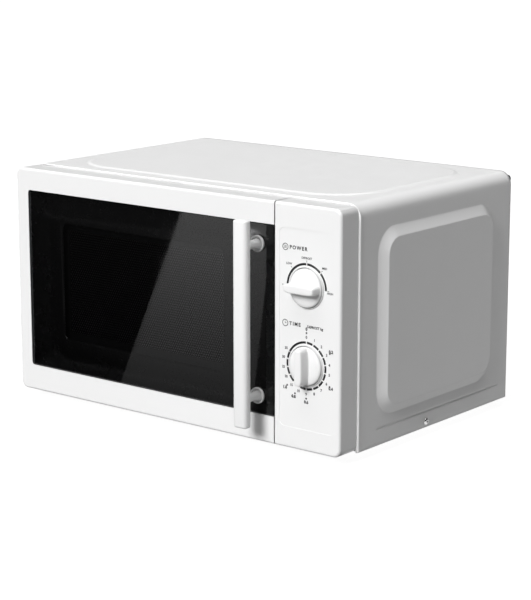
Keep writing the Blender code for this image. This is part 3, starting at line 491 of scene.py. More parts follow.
class SheetLine:
    """The line of the cabinet's sheet: up one side, over the top and down the other."""

    def __init__(self):
        self.width = SHELL_HIGH.x - SHELL_LOW.x - 2 * PACKED_SIDE_RAISE
        self.left = (SHELL_LOW.x + SHELL_HIGH.x - self.width) / 2
        self.height = SHELL_HIGH.z - SHELL_LOW.z - PACKED_TOP_RAISE
        self.radius = sizes().cabinet_radius
        self.flat = self.height - self.radius
        self.bend = self.radius * math.pi / 2
        self.over = self.width - 2 * self.radius
        self.whole = 2 * (self.flat + self.bend) + self.over
        up = runs((0.0140, 0.0035), (0.0200, 0.0006), (0.0280, 0.0020), (0.2190, 0.0120),
                  (self.flat, 0.004), (self.flat + self.bend, 0.0022))
        across = runs((0.016, 0.004), (0.075, 0.0014), (self.over - 0.075, 0.012),
                      (self.over - 0.016, 0.0014), (self.over, 0.004))
        half = up + [up[-1] + a for a in across[1:]]
        self.places = half + [self.whole - u for u in reversed(up[:-1])]

    def point(self, place, out, y):
        """The point at a place along the line, out from the sheet by some distance, at a depth."""
        mirrored = place > self.whole / 2
        u = self.whole - place if mirrored else place
        if u <= self.flat:
            x, z = -out, u
        elif u <= self.flat + self.bend:
            angle = (u - self.flat) / self.radius
            x = self.radius - (self.radius + out) * math.cos(angle)
            z = self.flat + (self.radius + out) * math.sin(angle)
        else:
            x, z = self.radius + (u - self.flat - self.bend), self.height + out
        return Vector((self.left + (self.width - x if mirrored else x), FRONT + y, BASE + z))

    def ahead(self, place):
        """How far the front edge reaches forward here: nothing on the door's hinge side."""
        return HEM_AHEAD * eased((place - self.flat) / (self.bend * 3))


def outline(low, high, radius, inset, steps=12):
    """Places round a rounded rectangle, drawn in by inset."""
    r = radius - inset
    near = (low[0] + radius, low[1] + radius)
    far = (high[0] - radius, high[1] - radius)
    places = []
    for u, v, start in ((far[0], far[1], 0), (near[0], far[1], 90), (near[0], near[1], 180),
                        (far[0], near[1], 270)):
        for step in range(steps + 1):
            angle = math.radians(start + 90 * step / steps)
            places.append((u + r * math.cos(angle), v + r * math.sin(angle)))
    return places


def ring_out(shape, edges, ring):
    """Extrudes a ring of edges; returns the new edges, and the new points in the old order."""
    made = bmesh.ops.extrude_edge_only(shape, edges=edges)["geom"]
    new = [g for g in made if isinstance(g, bmesh.types.BMVert)]
    known = set(new)
    edges = [g for g in made if isinstance(g, bmesh.types.BMEdge) and known.issuperset(g.verts)]
    return edges, [min(new, key=lambda v, o=old: (v.co - o.co).length) for old in ring]


def press_side(shape, flat_x, outward, s):
    """Presses the raised field into a flat side of the sheet."""
    low, high, radius = SIDE_FIELD
    start, end = at(0, low[0] - 0.002, low[1] - 0.002), at(0, high[0] + 0.002, high[1] + 0.002)
    gone = [f for f in shape.faces if abs(f.calc_center_median().x - flat_x) < 1e-6
            and any(start.y < v.co.y < end.y and start.z < v.co.z < end.z for v in f.verts)]
    bmesh.ops.delete(shape, geom=gone, context="FACES")
    mouth = [e for e in shape.edges if e.is_boundary
             and all(abs(v.co.x - flat_x) < 1e-6 and FRONT + 0.045 < v.co.y < SHELL_HIGH.y - 0.010
                     and v.co.z > BASE + 0.018 for v in e.verts)]
    bends = (-0.0010, 0.0, 0.05, 0.10, 0.90, 0.95, 1.0, 1.08)
    levels = [(bends[0], 0.0)]
    levels += [(share * s.side_slope, s.side_raise * ramped(share)) for share in bends[1:]]
    first = outline(low, high, radius, 0.0)
    ring = bmesh.ops.create_circle(shape, segments=len(first), radius=1.0, cap_ends=False)["verts"]
    edges = list({e for v in ring for e in v.link_edges})
    for index, (inset, height) in enumerate(levels):
        if index:
            edges, ring = ring_out(shape, edges, ring)
        for v, (y, z) in zip(ring, outline(low, high, radius, inset)):
            v.co = (flat_x + outward * height, FRONT + y, BASE + z)
        if not index:
            # a ring in the plane of the mouth could be joined crosswise, so it stands clear meanwhile
            bmesh.ops.translate(shape, vec=(outward * 0.01, 0, 0), verts=ring)
            bmesh.ops.bridge_loops(shape, edges=mouth + edges)
            bmesh.ops.translate(shape, vec=(-outward * 0.01, 0, 0), verts=ring)
    bmesh.ops.contextual_create(shape, geom=edges)


def bend_sheet(line, depth_from, depth):
    """One sheet bent over the sides and top, with its pressed fields."""
    s = sizes()
    depths = runs((0.003, 0.001), (0.018, 0.003), (0.060, 0.0016), (depth - 0.082, 0.008),
                  (depth - 0.016, 0.0016), (depth, 0.003))
    shape = bmesh.new()
    bmesh.ops.create_grid(shape, x_segments=len(line.places) - 1, y_segments=len(depths) - 1, size=0.5)
    for v in shape.verts:
        place = line.places[round((v.co.x + 0.5) * (len(line.places) - 1))]
        y = depth_from + depths[round((v.co.y + 0.5) * (len(depths) - 1))]
        low_down = min(place, line.whole - place)
        if low_down > line.flat + line.bend:
            out = top_height(line.point(place, 0, y).x - LEFT, y, s)
        else:
            out = -groove_depth(y, low_down, s)
        v.co = line.point(place, out, y - line.ahead(place) * max(0.0, 1 - (y - depth_from) / 0.018))
    press_side(shape, line.left, -1, s)
    press_side(shape, line.left + line.width, 1, s)
    bmesh.ops.recalc_face_normals(shape, faces=shape.faces)
    if max(shape.faces, key=lambda f: f.calc_center_median().z).normal.z < 0:
        bmesh.ops.reverse_faces(shape, faces=shape.faces)
    piece = make_piece("cabinet_shell", shape, "white_paint", "chassis",
                       ("outer_cabinet",), 50)
    thickened(piece, s.sheet, -1)


def roll_edge(line, depth_from, around=16):
    """The rolled front edge, thicker inwards away from the door's hinge side."""
    shape = bmesh.new()
    bmesh.ops.create_grid(shape, x_segments=len(line.places) - 1, y_segments=around, size=0.5)
    for v in shape.verts:
        place = line.places[round((v.co.x + 0.5) * (len(line.places) - 1))]
        angle = 2 * math.pi * (round((v.co.y + 0.5) * around) % around) / around
        c, d = math.cos(angle), math.sin(angle)
        half = HEM[0] + 0.00105 * eased((place - line.flat - line.bend) / 0.05)
        low_down = min(place, line.whole - place)
        reach = 0.0008 - 0.0005 * eased((low_down - line.flat) / line.bend)
        out = reach - half + half * math.copysign(abs(c) ** 0.6, c)
        back = HEM[1] + HEM[1] * math.copysign(abs(d) ** 0.6, d)
        v.co = line.point(place, out, depth_from - line.ahead(place) + back)
    bmesh.ops.remove_doubles(shape, verts=shape.verts, dist=0.000001)
    bmesh.ops.holes_fill(shape, edges=shape.edges, sides=0)
    bmesh.ops.recalc_face_normals(shape, faces=shape.faces)
    # the edge gets the lighter paint, a painted highlight along the cabinet's front edge
    make_piece("cabinet_edge", shape, "edge_paint", "chassis", (), 60)


def build_cabinet():
    line = SheetLine()
    bend_sheet(line, SHELL_LOW.y - FRONT, SHELL_HIGH.y - SHELL_LOW.y)
    roll_edge(line, SHELL_LOW.y - FRONT)


# ---------------------------------------------------------------- door and panel

FIELD_DEPTH = 0.0003                                         # of the sunk field on the control panel
PACKED_FIELD_DEPTH = 0.0005                                  # of the same field in the CAD
WINDOW_FROM, WINDOW_TO = (0.0665, 0, 0.0640), (0.2915, 0, 0.1905)    # opening in the border print
HOLES_FROM, HOLES_TO = (0.0700, 0, 0.0705), (0.2880, 0, 0.1840)      # the screen's field of holes
BORDER_THICK = 0.00008                                       # of the print behind the glass
SCREEN_THICK = 0.0004
FILM_FROM, FILM_TO = 0.0009, 0.0011                          # the film's faces, behind the screen


def build_front():
    """The door's moulding and the control panel, with softened edges."""
    soften = sizes().edge_soften
    refined("door_frame", smooth=32, soften=soften, name="door_moulding")

    def shallow(shape):
        for v in shape.verts:
            if abs(v.co.y - FRONT - PACKED_FIELD_DEPTH) < 0.00001:
                v.co.y = FRONT + FIELD_DEPTH

    refined("control_panel", smooth=32, soften=soften, name="panel_moulding", change=shallow)


def build_glass():
    """The tinted glass, and the black border printed on the back of it."""
    low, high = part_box("door_glass")
    shape = box_shape(low, high)
    bevel_edges(shape, lambda e: along(e, 1) and e.verts[0].co.x < low.x + 1e-6, 0.0030, 6)
    bevel_edges(shape, lambda e: all(v.co.y < low.y + 1e-6 for v in e.verts), 0.0005, 2)
    make_piece("tinted_glass", shape, "door_glass", "door", ("door_glass",), 12)
    back = high.y + 0.00002
    shape = bmesh.new()
    bmesh.ops.create_grid(shape, x_segments=3, y_segments=3, size=1.0)
    edge = 0.0004
    window_low, window_high = at(*WINDOW_FROM), at(*WINDOW_TO)
    columns = (low.x + edge, window_low.x, window_high.x, high.x - edge)
    rows = (low.z + edge, window_low.z, window_high.z, high.z - edge)
    for v in shape.verts:
        column, row = round((v.co.x + 1) * 1.5), round((v.co.y + 1) * 1.5)
        v.co = (columns[column], back, rows[row])
    window = [f for f in shape.faces
              if window_low.x < f.calc_center_median().x < window_high.x
              and window_low.z < f.calc_center_median().z < window_high.z]
    bmesh.ops.delete(shape, geom=window, context="FACES_ONLY")
    corners = [v for v in shape.verts
               if min(abs(v.co.x - window_low.x), abs(v.co.x - window_high.x)) < 1e-6
               and min(abs(v.co.z - window_low.z), abs(v.co.z - window_high.z)) < 1e-6]
    bmesh.ops.bevel(shape, geom=corners, offset=0.006, segments=5, profile=0.5, affect="VERTICES",
                    material=-1)
    bmesh.ops.recalc_face_normals(shape, faces=shape.faces)
    piece = make_piece("glass_border_print", shape, "glass_print", "door")
    thickened(piece, BORDER_THICK, 0)


def hexagon_cell(centre, pitch, share):
    """A six-sided cell with a hole: a few faces, so that thousands can stand side by side."""
    cell = bmesh.new()
    outer_radius = pitch / math.sqrt(3)
    turn = Matrix.Rotation(math.radians(30), 4, "Z")
    bmesh.ops.create_circle(cell, segments=6, radius=outer_radius, cap_ends=False, matrix=turn)
    outer_edges = list(cell.edges)
    bmesh.ops.create_circle(cell, segments=6, radius=outer_radius * share, cap_ends=False, matrix=turn)
    inner_edges = [e for e in cell.edges if e not in outer_edges]
    bmesh.ops.bridge_loops(cell, edges=outer_edges + inner_edges)
    upright = Matrix.Rotation(math.radians(90), 4, "X")
    bmesh.ops.transform(cell, matrix=Matrix.Translation(centre) @ upright, verts=cell.verts)
    return cell


def build_screen():
    """The steel screen of the door, with a field of real holes."""
    s = sizes()
    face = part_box("door_screen")[0].y
    hole_low, hole_high = at(*HOLES_FROM), at(*HOLES_TO)
    pan = refined("door_screen", "black_enamel", smooth=35, name="door_screen_pan")
    cut(pan, box_shape(Vector((hole_low.x, face - 0.005, hole_low.z)),
                       Vector((hole_high.x, face + 0.004, hole_high.z))))
    pitch = s.hole_pitch
    rise = pitch * math.sqrt(3) / 2
    columns = int((hole_high.x - hole_low.x) / pitch) + 1
    rows = int((hole_high.z - hole_low.z) / rise) + 1
    shape = hexagon_cell(Vector((hole_low.x, face + SCREEN_THICK, hole_low.z)), pitch, s.hole_share)
    shape = repeated(shape, Vector((pitch, 0, 0)), columns)
    second = shape.copy()
    bmesh.ops.translate(second, vec=(pitch / 2, 0, rise), verts=second.verts)
    shape = repeated(add_to(shape, second), Vector((0, 0, 2 * rise)), (rows + 1) // 2)
    merge(shape, 0.00002)
    mesh_piece = make_piece("screen_mesh", shape, "black_enamel", "door")
    thickened(mesh_piece, SCREEN_THICK, 0)
    edge = Vector((0.003, 0, 0.003))
    film = box_shape(hole_low - edge, hole_high + edge + Vector((0, 0.001, 0)))
    for v in film.verts:
        v.co.y = face + (FILM_TO if v.co.y > hole_low.y else FILM_FROM)
    bmesh.ops.recalc_face_normals(film, faces=film.faces)
    make_piece("screen_film", film, "window_film", "door")


def repeated(shape, step, count):
    """A row of count copies of a shape, put together from blocks of 1, 2, 4 and so on."""
    block, size, placed = shape, 1, 0
    row = bmesh.new()
    while placed < count:
        if count & size:
            part = block.copy()
            bmesh.ops.translate(part, vec=step * placed, verts=part.verts)
            add_to(row, part)
            placed += size
        twin = block.copy()
        bmesh.ops.translate(twin, vec=step * size, verts=twin.verts)
        add_to(block, twin)
        size *= 2
    block.free()
    return row


# ---------------------------------------------------------------- handle

BAR_BACK = -0.0205                                           # back of the bar, ahead of the front
POST_ROOT = -0.0012                                          # where the posts meet the collars


def build_handle():
    """The upright bar, its flared posts and the collars against the glass."""
    low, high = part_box("handle_bar")
    shape = box_shape(low, Vector((high.x, FRONT + BAR_BACK, high.z)))
    bevel_edges(shape, lambda e: along(e, 2), 0.0042, 6)
    bevel_edges(shape, lambda e: abs(e.verts[0].co.z - e.verts[1].co.z) < 1e-7, 0.0022, 4)
    parts = []
    for end in ("lower", "upper"):
        collar = middle("handle_collar_" + end)
        profile = [(0.0, 0.0), (0.0056, 0.0), (0.0050, 0.0012), (0.0045, 0.0040), (0.0042, 0.0080),
                   (0.0042, 0.0120), (0.0045, 0.0160), (0.0052, 0.0188), (0.0064, 0.0206),
                   (0.0, 0.0206)]
        parts.append(spun(profile, Vector((collar.x, FRONT + POST_ROOT, collar.z)), (0, -1, 0), 40))
    make_piece("handle_grip", add_to(shape, *parts), "white_plastic", "door",
               ("handle_bar",), 40)
    for end in ("lower", "upper"):
        node = "handle_collar_" + end
        collar = middle(node)
        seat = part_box(node)[1].y
        profile = [(0.0025, 0.0), (0.0080, 0.0), (0.0083, 0.0004), (0.0083, 0.0022), (0.0080, 0.0028),
                   (0.0074, 0.0028), (0.0070, 0.0022), (0.0066, 0.0010), (0.0025, 0.0010)]
        make_piece(f"handle_collar_{end}_turned", spun(profile, Vector((collar.x, seat, collar.z)),
                                                       (0, -1, 0), 48),
                   "white_plastic", "door", (node,), 40)
    for end in ("lower", "upper"):
        refined("handle_screw_" + end)


# ---------------------------------------------------------------- dials

def grip_level(half_length, half_width, power, upright, steps):
    """Places round a long rounded outline; a higher power makes it squarer."""
    places = []
    for i in range(steps):
        angle = 2 * math.pi * i / steps
        u = half_length * math.copysign(abs(math.cos(angle)) ** (2 / power), math.cos(angle))
        v = half_width * math.copysign(abs(math.sin(angle)) ** (2 / power), math.sin(angle))
        places.append((-v, u) if upright else (u, v))
    return places


def dial(name, node, upright):
    """A domed skirt with a raised grip across it."""
    s = sizes()
    steps = s.knob_steps
    shaft = middle(node.replace("knob", "shaft"))
    centre = Vector((shaft.x, FRONT, shaft.z))
    radius = (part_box(node)[1].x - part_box(node)[0].x) / 2
    skirt = [(0.0, 0.0042), (0.0060, 0.0042), (0.0110, 0.0041), (0.0150, 0.0038), (0.0176, 0.0033),
             (0.0188, 0.0027), (0.0193, 0.0018), (0.0194, -0.0003), (0.0202, -0.0003), (0.0203, 0.0011),
             (radius - 0.0003, 0.0011), (radius, 0.0008), (radius, -0.0006), (radius - 0.0003, -0.0009),
             (0.0056, -0.0009), (0.0056, -0.0100), (0.0, -0.0100)]
    shape = spun(skirt, centre, (0, -1, 0), steps)
    grip = bmesh.new()
    bmesh.ops.create_circle(grip, segments=steps, radius=1.0, cap_ends=False)
    # half length, half breadth, squareness and height, from the skirt to the top of the grip
    levels = ((0.0188, 0.0068, 2.6, 0.0020), (0.0187, 0.0063, 2.8, 0.0042),
              (0.0186, 0.0057, 3.2, 0.0052), (0.0185, 0.0053, 3.6, 0.0068),
              (0.0183, 0.0050, 4.0, 0.0095), (0.0181, 0.0047, 4.4, 0.0122),
              (0.0179, 0.0044, 4.6, 0.0133), (0.0175, 0.0041, 4.6, 0.0140),
              (0.0169, 0.0035, 4.6, 0.0144), (0.0160, 0.0027, 4.6, 0.0145))
    ring = list(grip.verts)
    order = sorted(range(steps), key=lambda i: math.atan2(ring[i].co.y, ring[i].co.x) % (2 * math.pi))
    edges = list(grip.edges)
    for index, (length, breadth, power, height) in enumerate(levels):
        if index:
            edges, ring = ring_out(grip, edges, ring)
        for place, i in zip(grip_level(length, breadth, power, upright, steps), order):
            ring[i].co = centre + Vector((place[0], -height, place[1]))
    bmesh.ops.holes_fill(grip, edges=grip.edges, sides=0)
    bmesh.ops.recalc_face_normals(grip, faces=grip.faces)
    make_piece(name, add_to(shape, grip), "knob_plastic", BODY_OF[node], (node,), 45)


def build_dials():
    """Both dials, and their shafts."""
    dial("power_dial_moulding", "power_knob", False)
    dial("timer_dial_moulding", "timer_knob", True)
    refined("power_shaft")
    refined("timer_shaft")


# ---------------------------------------------------------------- print on the panel

PRINT_THICK = 0.00006
SIGN_X = 0.3722                                              # of both signs, right of the door's edge
POWER_SIGN, TIME_SIGN = 0.2030, 0.1270                       # their heights over the housing's base
RING_GAP = 1.6                                               # degrees left free between ring pieces
UPRIGHT = Matrix.Rotation(math.radians(90), 4, "X")


def arc(centre, inner, outer, start, end):
    """A flat piece of ring on the panel, with angles clockwise from the top."""
    shape = bmesh.new()
    first = math.radians(start)
    verts = [shape.verts.new((centre.x + r * math.sin(first), centre.y, centre.z + r * math.cos(first)))
             for r in (inner, outer)]
    edge = shape.edges.new(verts)
    steps = max(1, round(abs(end - start) / 6))
    bmesh.ops.spin(shape, geom=verts + [edge], cent=centre, axis=(0, 1, 0),
                   angle=math.radians(end - start), steps=steps, use_merge=abs(end - start) > 359.9,
                   use_duplicate=False)
    merge(shape, 0.000001)
    for face in shape.faces:
        if face.normal.y > 0:
            face.normal_flip()
    return shape


def on_panel(centre, x, z):
    """Lays what is drawn flat against the panel, x and z from a centre."""
    return Matrix.Translation((centre.x + x, centre.y, centre.z + z)) @ UPRIGHT


def spot(centre, x, z, radius):
    shape = bmesh.new()
    bmesh.ops.create_circle(shape, segments=14, radius=radius, cap_ends=True,
                            matrix=on_panel(centre, x, z))
    return shape


def bar(centre, x, z, width, height, turn=0.0):
    """A small printed rectangle, turned clockwise by some degrees."""
    shape = bmesh.new()
    bmesh.ops.create_grid(shape, x_segments=1, y_segments=1, size=0.5)
    bmesh.ops.scale(shape, vec=(width, height, 1), verts=shape.verts)
    matrix = on_panel(centre, x, z) @ Matrix.Rotation(math.radians(-turn), 4, "Z")
    bmesh.ops.transform(shape, matrix=matrix, verts=shape.verts)
    return shape


def lettering(text, x, z, size, centre, align="CENTER", bold=0.0, spread=1.0):
    """Text as a flat mesh on the panel."""
    curve = bpy.data.curves.new("lettering", "FONT")
    curve.body = text
    curve.size = size
    curve.align_x = align
    curve.align_y = "CENTER"
    curve.resolution_u = 3
    curve.offset = bold
    curve.space_character = spread
    holder = placed("lettering", curve)
    bpy.context.view_layer.update()
    mesh = bpy.data.meshes.new_from_object(holder.evaluated_get(bpy.context.evaluated_depsgraph_get()))
    bpy.data.objects.remove(holder)
    bpy.data.curves.remove(curve)
    shape = bmesh.new()
    shape.from_mesh(mesh)
    bpy.data.meshes.remove(mesh)
    bmesh.ops.transform(shape, matrix=on_panel(centre, x, z), verts=shape.verts)
    bmesh.ops.remove_doubles(shape, verts=shape.verts, dist=0.000002)
    return shape


def round_at(radius, angle):
    return radius * math.sin(math.radians(angle)), radius * math.cos(math.radians(angle))


def build_print():
    """Rings, numbers and signs printed on the control panel."""
    s = sizes()
    field = FRONT + FIELD_DEPTH - PRINT_THICK
    power = Vector((middle("power_shaft").x, field, middle("power_shaft").z))
    timer = Vector((middle("timer_shaft").x, field, middle("timer_shaft").z))
    outer, inner = s.ring_radius, s.ring_radius - s.ring_width
    parts = [arc(power, inner, outer, -90, -1.5), arc(power, inner, outer, 1.5, 43.5),
             arc(power, inner, outer, 46.5, 90)]
    for angle in (-90, -45, 0, 45, 90):
        parts.append(bar(power, *round_at(outer + 0.0016, angle), 0.0005, 0.0020, angle))
    parts.append(spot(power, *round_at(outer + 0.0048, -90), 0.0006))
    for angle, word in ((-45, "LOW"), (0, "DEFROST"), (45, "MED"), (90, "HIGH")):
        x, z = round_at(outer + (0.0060 if angle % 90 else 0.0046), angle)
        shift = 0.0022 if angle == 90 else 0.0
        parts.append(lettering(word, min(x + shift, 0.0285), z - shift, 0.0030, power, bold=0.00009))
    for start in (*range(0, 200, 20), *range(220, 300, 20)):
        parts.append(arc(timer, inner, outer, start + RING_GAP, start + 20 - RING_GAP))
    parts.append(arc(timer, inner, outer, 300, 360 - RING_GAP))
    for minute in range(11):
        x, z = round_at(0.0286, minute * 20)
        parts.append(lettering(str(minute), x, z, 0.0038, timer, bold=0.00013))
    for index, minute in enumerate((15, 20, 25, 30, 35)):
        x, z = round_at(0.0288, 220 + index * 20)
        parts.append(lettering(str(minute), x, z, 0.0036, timer, bold=0.00013))
    for angle, weight in ((0, "0"), (60, "0.2"), (120, "0.4"), (180, "0.6"), (205, "0.8"),
                          (226, "1.0")):
        parts.append(spot(timer, *round_at(0.0330, angle), 0.0010))
        x, z = round_at(0.0368, angle)
        parts.append(lettering(weight, max(-0.0300, min(0.0300, x)), z, 0.0042, timer, bold=0.00022))
    for height, word in ((POWER_SIGN, "POWER"), (TIME_SIGN, "TIME")):
        sign = Vector((LEFT + SIGN_X, field, BASE + height))
        parts.append(arc(sign, 0.0029, 0.0036, 0, 360))
        parts.append(lettering(word, 0.0052, 0, 0.0052, sign, "LEFT", 0.00018, 1.35))
    for z in (-0.0011, 0.0, 0.0011):
        parts.append(bar(Vector((LEFT + SIGN_X, field, BASE + POWER_SIGN)), 0, z, 0.0036, 0.0004, 8))
    parts.append(bar(sign, 0.0000, 0.0009, 0.0005, 0.0022))
    parts.append(bar(sign, 0.0007, 0.0000, 0.0018, 0.0005))
    parts.append(lettering("DEFROST kg", 0.0270, -0.0004, 0.0036, sign, "LEFT", 0.00013))
    shape = bmesh.new()
    add_to(shape, *parts)
    piece = make_piece("panel_print", shape, "ink", "chassis")
    thickened(piece, PRINT_THICK, -1)


# ---------------------------------------------------------------- cavity, turntable and the rest

def build_cavity():
    """The enamelled cavity with its waveguide cover and front frame."""
    refined("oven_cavity", smooth=35, name="cavity_lining")
    refined("front_frame", smooth=30, soften=0.0002)
    refined("waveguide_cover", "mica", soften=0.0002)
    refined("choke_cover", "white_lining", smooth=35, soften=0.0003)
    refined("inner_window", "window_film", soften=0.0002)


def build_turntable():
    """The pressed glass plate, the coupler under it, the ring and its rollers."""
    low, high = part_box("glass_turntable")
    centre = (low + high) / 2
    radius = (high.x - low.x) / 2
    profile = [(0.0, 0.0040), (0.0300, 0.0040), (0.0600, 0.0041), (0.0930, 0.0043), (0.1000, 0.0049),
               (0.1070, 0.0070), (0.1150, 0.0108), (0.1185, 0.0128), (0.1205, 0.0138),
               (radius - 0.0008, 0.0139), (radius - 0.0002, 0.0134), (radius, 0.0126),
               (radius - 0.0006, 0.0114), (0.1190, 0.0094), (0.1120, 0.0058), (0.1060, 0.0026),
               (0.1010, 0.0007), (0.0970, 0.0), (0.0, 0.0)]
    shape = spun(profile, Vector((centre.x, centre.y, low.z)), (0, 0, 1), 120)
    make_piece("turntable_plate", shape, "clear_glass", BODY_OF["glass_turntable"],
               ("glass_turntable",), 60)
    for node in ("drive_coupler", "roller_ring", "roller_1", "roller_2", "roller_3"):
        refined(node, smooth=40, soften=0.0002)


def cross_screw(node, direction):
    """A domed screw head with a cross recess, standing for a CAD screw."""
    low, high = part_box(node)
    centre = (low + high) / 2
    axis = [i for i in range(3) if abs(direction[i]) > 0.5][0]
    reach = high[axis] if direction[axis] > 0 else low[axis]
    length = high[axis] - low[axis]
    other = (axis + 1) % 3
    radius = (high[other] - low[other]) / 2
    start = centre.copy()
    start[axis] = reach - direction[axis] * length
    profile = [(0.0, 0.0), (0.0017, 0.0), (0.0018, length - 0.0022), (radius - 0.0002, length - 0.0020),
               (radius, length - 0.0016), (radius - 0.0003, length - 0.0009),
               (radius * 0.7, length - 0.0003), (radius * 0.4, length), (0.0, length)]
    piece = make_piece(node + "_head", spun(profile, start, direction, 28), "bright_steel",
                       BODY_OF[node], (node,), 40)
    tip = centre.copy()
    tip[axis] = reach
    for index in (1, 0):
        span = Vector((0.0005, 0.0005, 0.0005))
        span[axis] = 0.0012
        span[(axis + 1 + index) % 3] = radius * 0.55
        cut(piece, box_shape(tip - span, tip + span))
    piece.data.shade_smooth()
    piece.data.set_sharp_from_angle(angle=math.radians(35))


def build_fasteners():
    """The screws on the sides and back."""
    for node, direction in (("side_screw_left", (-1, 0, 0)), ("side_screw_right", (1, 0, 0)),
                            ("rear_screw_left", (0, 1, 0)), ("rear_screw_right", (0, 1, 0))):
        cross_screw(node, Vector(direction))


SPECIAL = {"hv_transformer": "copper_winding", "magnetron": "bright_steel", "cavity_lamp": "bulb",
           "fan_motor": "zinc_steel", "monitor_switch": "black_plastic"}


def build_rest():
    """Every other CAD node: a merged copy with its own finish."""
    for node, item in sorted(frame["nodes"].items()):
        if not item.hide_render:
            outside = node in ("rear_panel", "base_plate")
            refined(node, SPECIAL.get(node), smooth=38, soften=0.0002 if outside else 0.00015)


# ---------------------------------------------------------------- stage

EYE = Vector((1.31165, -1.60959, 0.57085))                   # of the camera
EYE_TILT, EYE_TURN = math.radians(77.607), math.radians(38.869)
EYE_LENS = 117.52                                            # mm, for a sensor 36 mm wide
CARD_HEIGHT = 0.004
CARD_FROM, CARD_TO = 0.02, -4.0                              # the cards' depth, from behind the glass
# name, strength, sun's width in degrees, and where it comes from
LIGHTS = (("key_light", 3.48, 25, Vector((0.0, -0.848, 0.530))),
          ("top_light", 1.95, 50, Vector((0.0, -0.100, 0.995))))
CARDS = (("dark", 0.03), ("pale", 1.12), ("dim", 0.20))      # name and brightness, from left to right


def stage_material(name, colour, strength):
    material, tree, shader, source = start_material(name, colour, 0.9)
    set_inputs(shader, Emission_Color=(1, 1, 1, 1), Emission_Strength=strength)
    blended(tree, noise(tree, source, 0.6, 2.0), shade(colour, 0.99), colour,
            shader.inputs["Base Color"])
    return material


def reflected_cards():
    """Low cards in front of the oven that only the gloss of its door sees: dark, pale and dim."""
    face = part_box("door_glass")[0].y
    mirrored = Vector((EYE.x, 2 * face - EYE.y, EYE.z))

    def on_floor(x, z):
        point = at(x, 0, z)
        point.y = face
        run = point - mirrored
        return mirrored + run * ((CARD_HEIGHT - mirrored.z) / run.z)

    def edge(top, bottom):
        far, near = on_floor(top, 0.2230), on_floor(bottom, 0.0289)
        slope = (far.x - near.x) / (far.y - near.y)
        return [Vector((near.x + (y - near.y) * slope, y, CARD_HEIGHT)) for y in ends]

    ends = (face + CARD_FROM, CARD_TO)
    lines = [[Vector((-6.0, y, CARD_HEIGHT)) for y in ends], edge(0.2382, 0.1500),
             edge(0.3560, 0.3300), [Vector((4.0, y, CARD_HEIGHT)) for y in ends]]
    for index, (name, strength) in enumerate(CARDS):
        shape = bmesh.new()
        bmesh.ops.create_grid(shape, x_segments=1, y_segments=1, size=1.0)
        for v in shape.verts:
            v.co = lines[index + (v.co.x > 0)][0 if v.co.y > 0 else 1]
        mesh = mesh_of(f"{name}_card", shape)
        material, tree, shader, source = start_material(f"stage_{name}_card", (0, 0, 0), 1.0)
        set_inputs(shader, Specular_IOR_Level=0.0, Emission_Color=(1, 1, 1, 1))
        split = add_node(tree, "SeparateXYZ", source)
        ranged(tree, split.outputs["Y"], 0.12 * strength, strength,
               shader.inputs["Emission Strength"], -0.14, -1.15)
        mesh.materials.append(material)
        card = placed(f"{name}_card", mesh)
        card.visible_camera = False
        card.visible_diffuse = False
        card.visible_shadow = False
        card.visible_transmission = False


def build_stage():
    """Pale floor, soft light and the camera."""
    scene = bpy.context.scene
    scene.view_settings.view_transform = "Standard"
    world = bpy.data.worlds.new("studio")
    world.use_nodes = True
    tree = world.node_tree
    background = tree.nodes["Background"]
    set_inputs(background, Strength=1.0)
    split = add_node(tree, "SeparateXYZ", add_node(tree, "TexCoord").outputs["Generated"])
    sky = add_node(tree, "ValToRGB")
    sky.color_ramp.elements.new(0.49)
    sky.color_ramp.elements.new(0.55)
    for stop, level in zip(sky.color_ramp.elements, (0.50, 0.20, 0.05, 0.04)):
        stop.color = (level, level, level, 1)
    ranged(tree, split.outputs["Z"], 0.0, 1.0, sky.inputs["Fac"], -1.0, 1.0)
    tree.links.new(sky.outputs["Color"], background.inputs["Color"])
    scene.world = world

    shape = bmesh.new()
    bmesh.ops.create_circle(shape, segments=96, radius=30.0, cap_ends=True)
    mesh = mesh_of("floor", shape)
    mesh.materials.append(stage_material("stage_floor", (0.14, 0.14, 0.14), 0.92))
    floor = placed("floor", mesh)
    floor.visible_diffuse = False

    for name, energy, spread, way in LIGHTS:
        sun = bpy.data.lights.new(name, "SUN")
        sun.energy = energy
        sun.angle = math.radians(spread)
        placed(name, sun).rotation_euler = way.to_track_quat("Z", "Y").to_euler()

    reflected_cards()

    lens = bpy.data.cameras.new("camera")
    lens.sensor_width = 36.0
    lens.lens = EYE_LENS
    lens.clip_start = 0.05
    lens.clip_end = 100.0
    camera = placed("camera", lens)
    camera.location = EYE
    camera.rotation_euler = (EYE_TILT, 0.0, EYE_TURN)
    scene.camera = camera


# ---------------------------------------------------------------- operators and panel

class OVEN_OT_cabinet(Operator):
    """Bend the cabinet's sheet, press its fields and roll its front edge"""
    bl_idname = "oven.cabinet"
    bl_label = "Cabinet"

    def execute(self, context):
        build_cabinet()
        return {"FINISHED"}


class OVEN_OT_front(Operator):
    """Finish the mouldings of the door and control panel"""
    bl_idname = "oven.front"
    bl_label = "Door and panel"

    def execute(self, context):
        build_front()
        return {"FINISHED"}


class OVEN_OT_glass(Operator):
    """Make the tinted glass and its printed border"""
    bl_idname = "oven.glass"
    bl_label = "Door glass"

    def execute(self, context):
        build_glass()
        return {"FINISHED"}


class OVEN_OT_screen(Operator):
    """Punch the holes of the door screen"""
    bl_idname = "oven.screen"
    bl_label = "Door screen"

    def execute(self, context):
        build_screen()
        return {"FINISHED"}


class OVEN_OT_handle(Operator):
    """Make the handle, its posts and collars"""
    bl_idname = "oven.handle"
    bl_label = "Handle"

    def execute(self, context):
        build_handle()
        return {"FINISHED"}


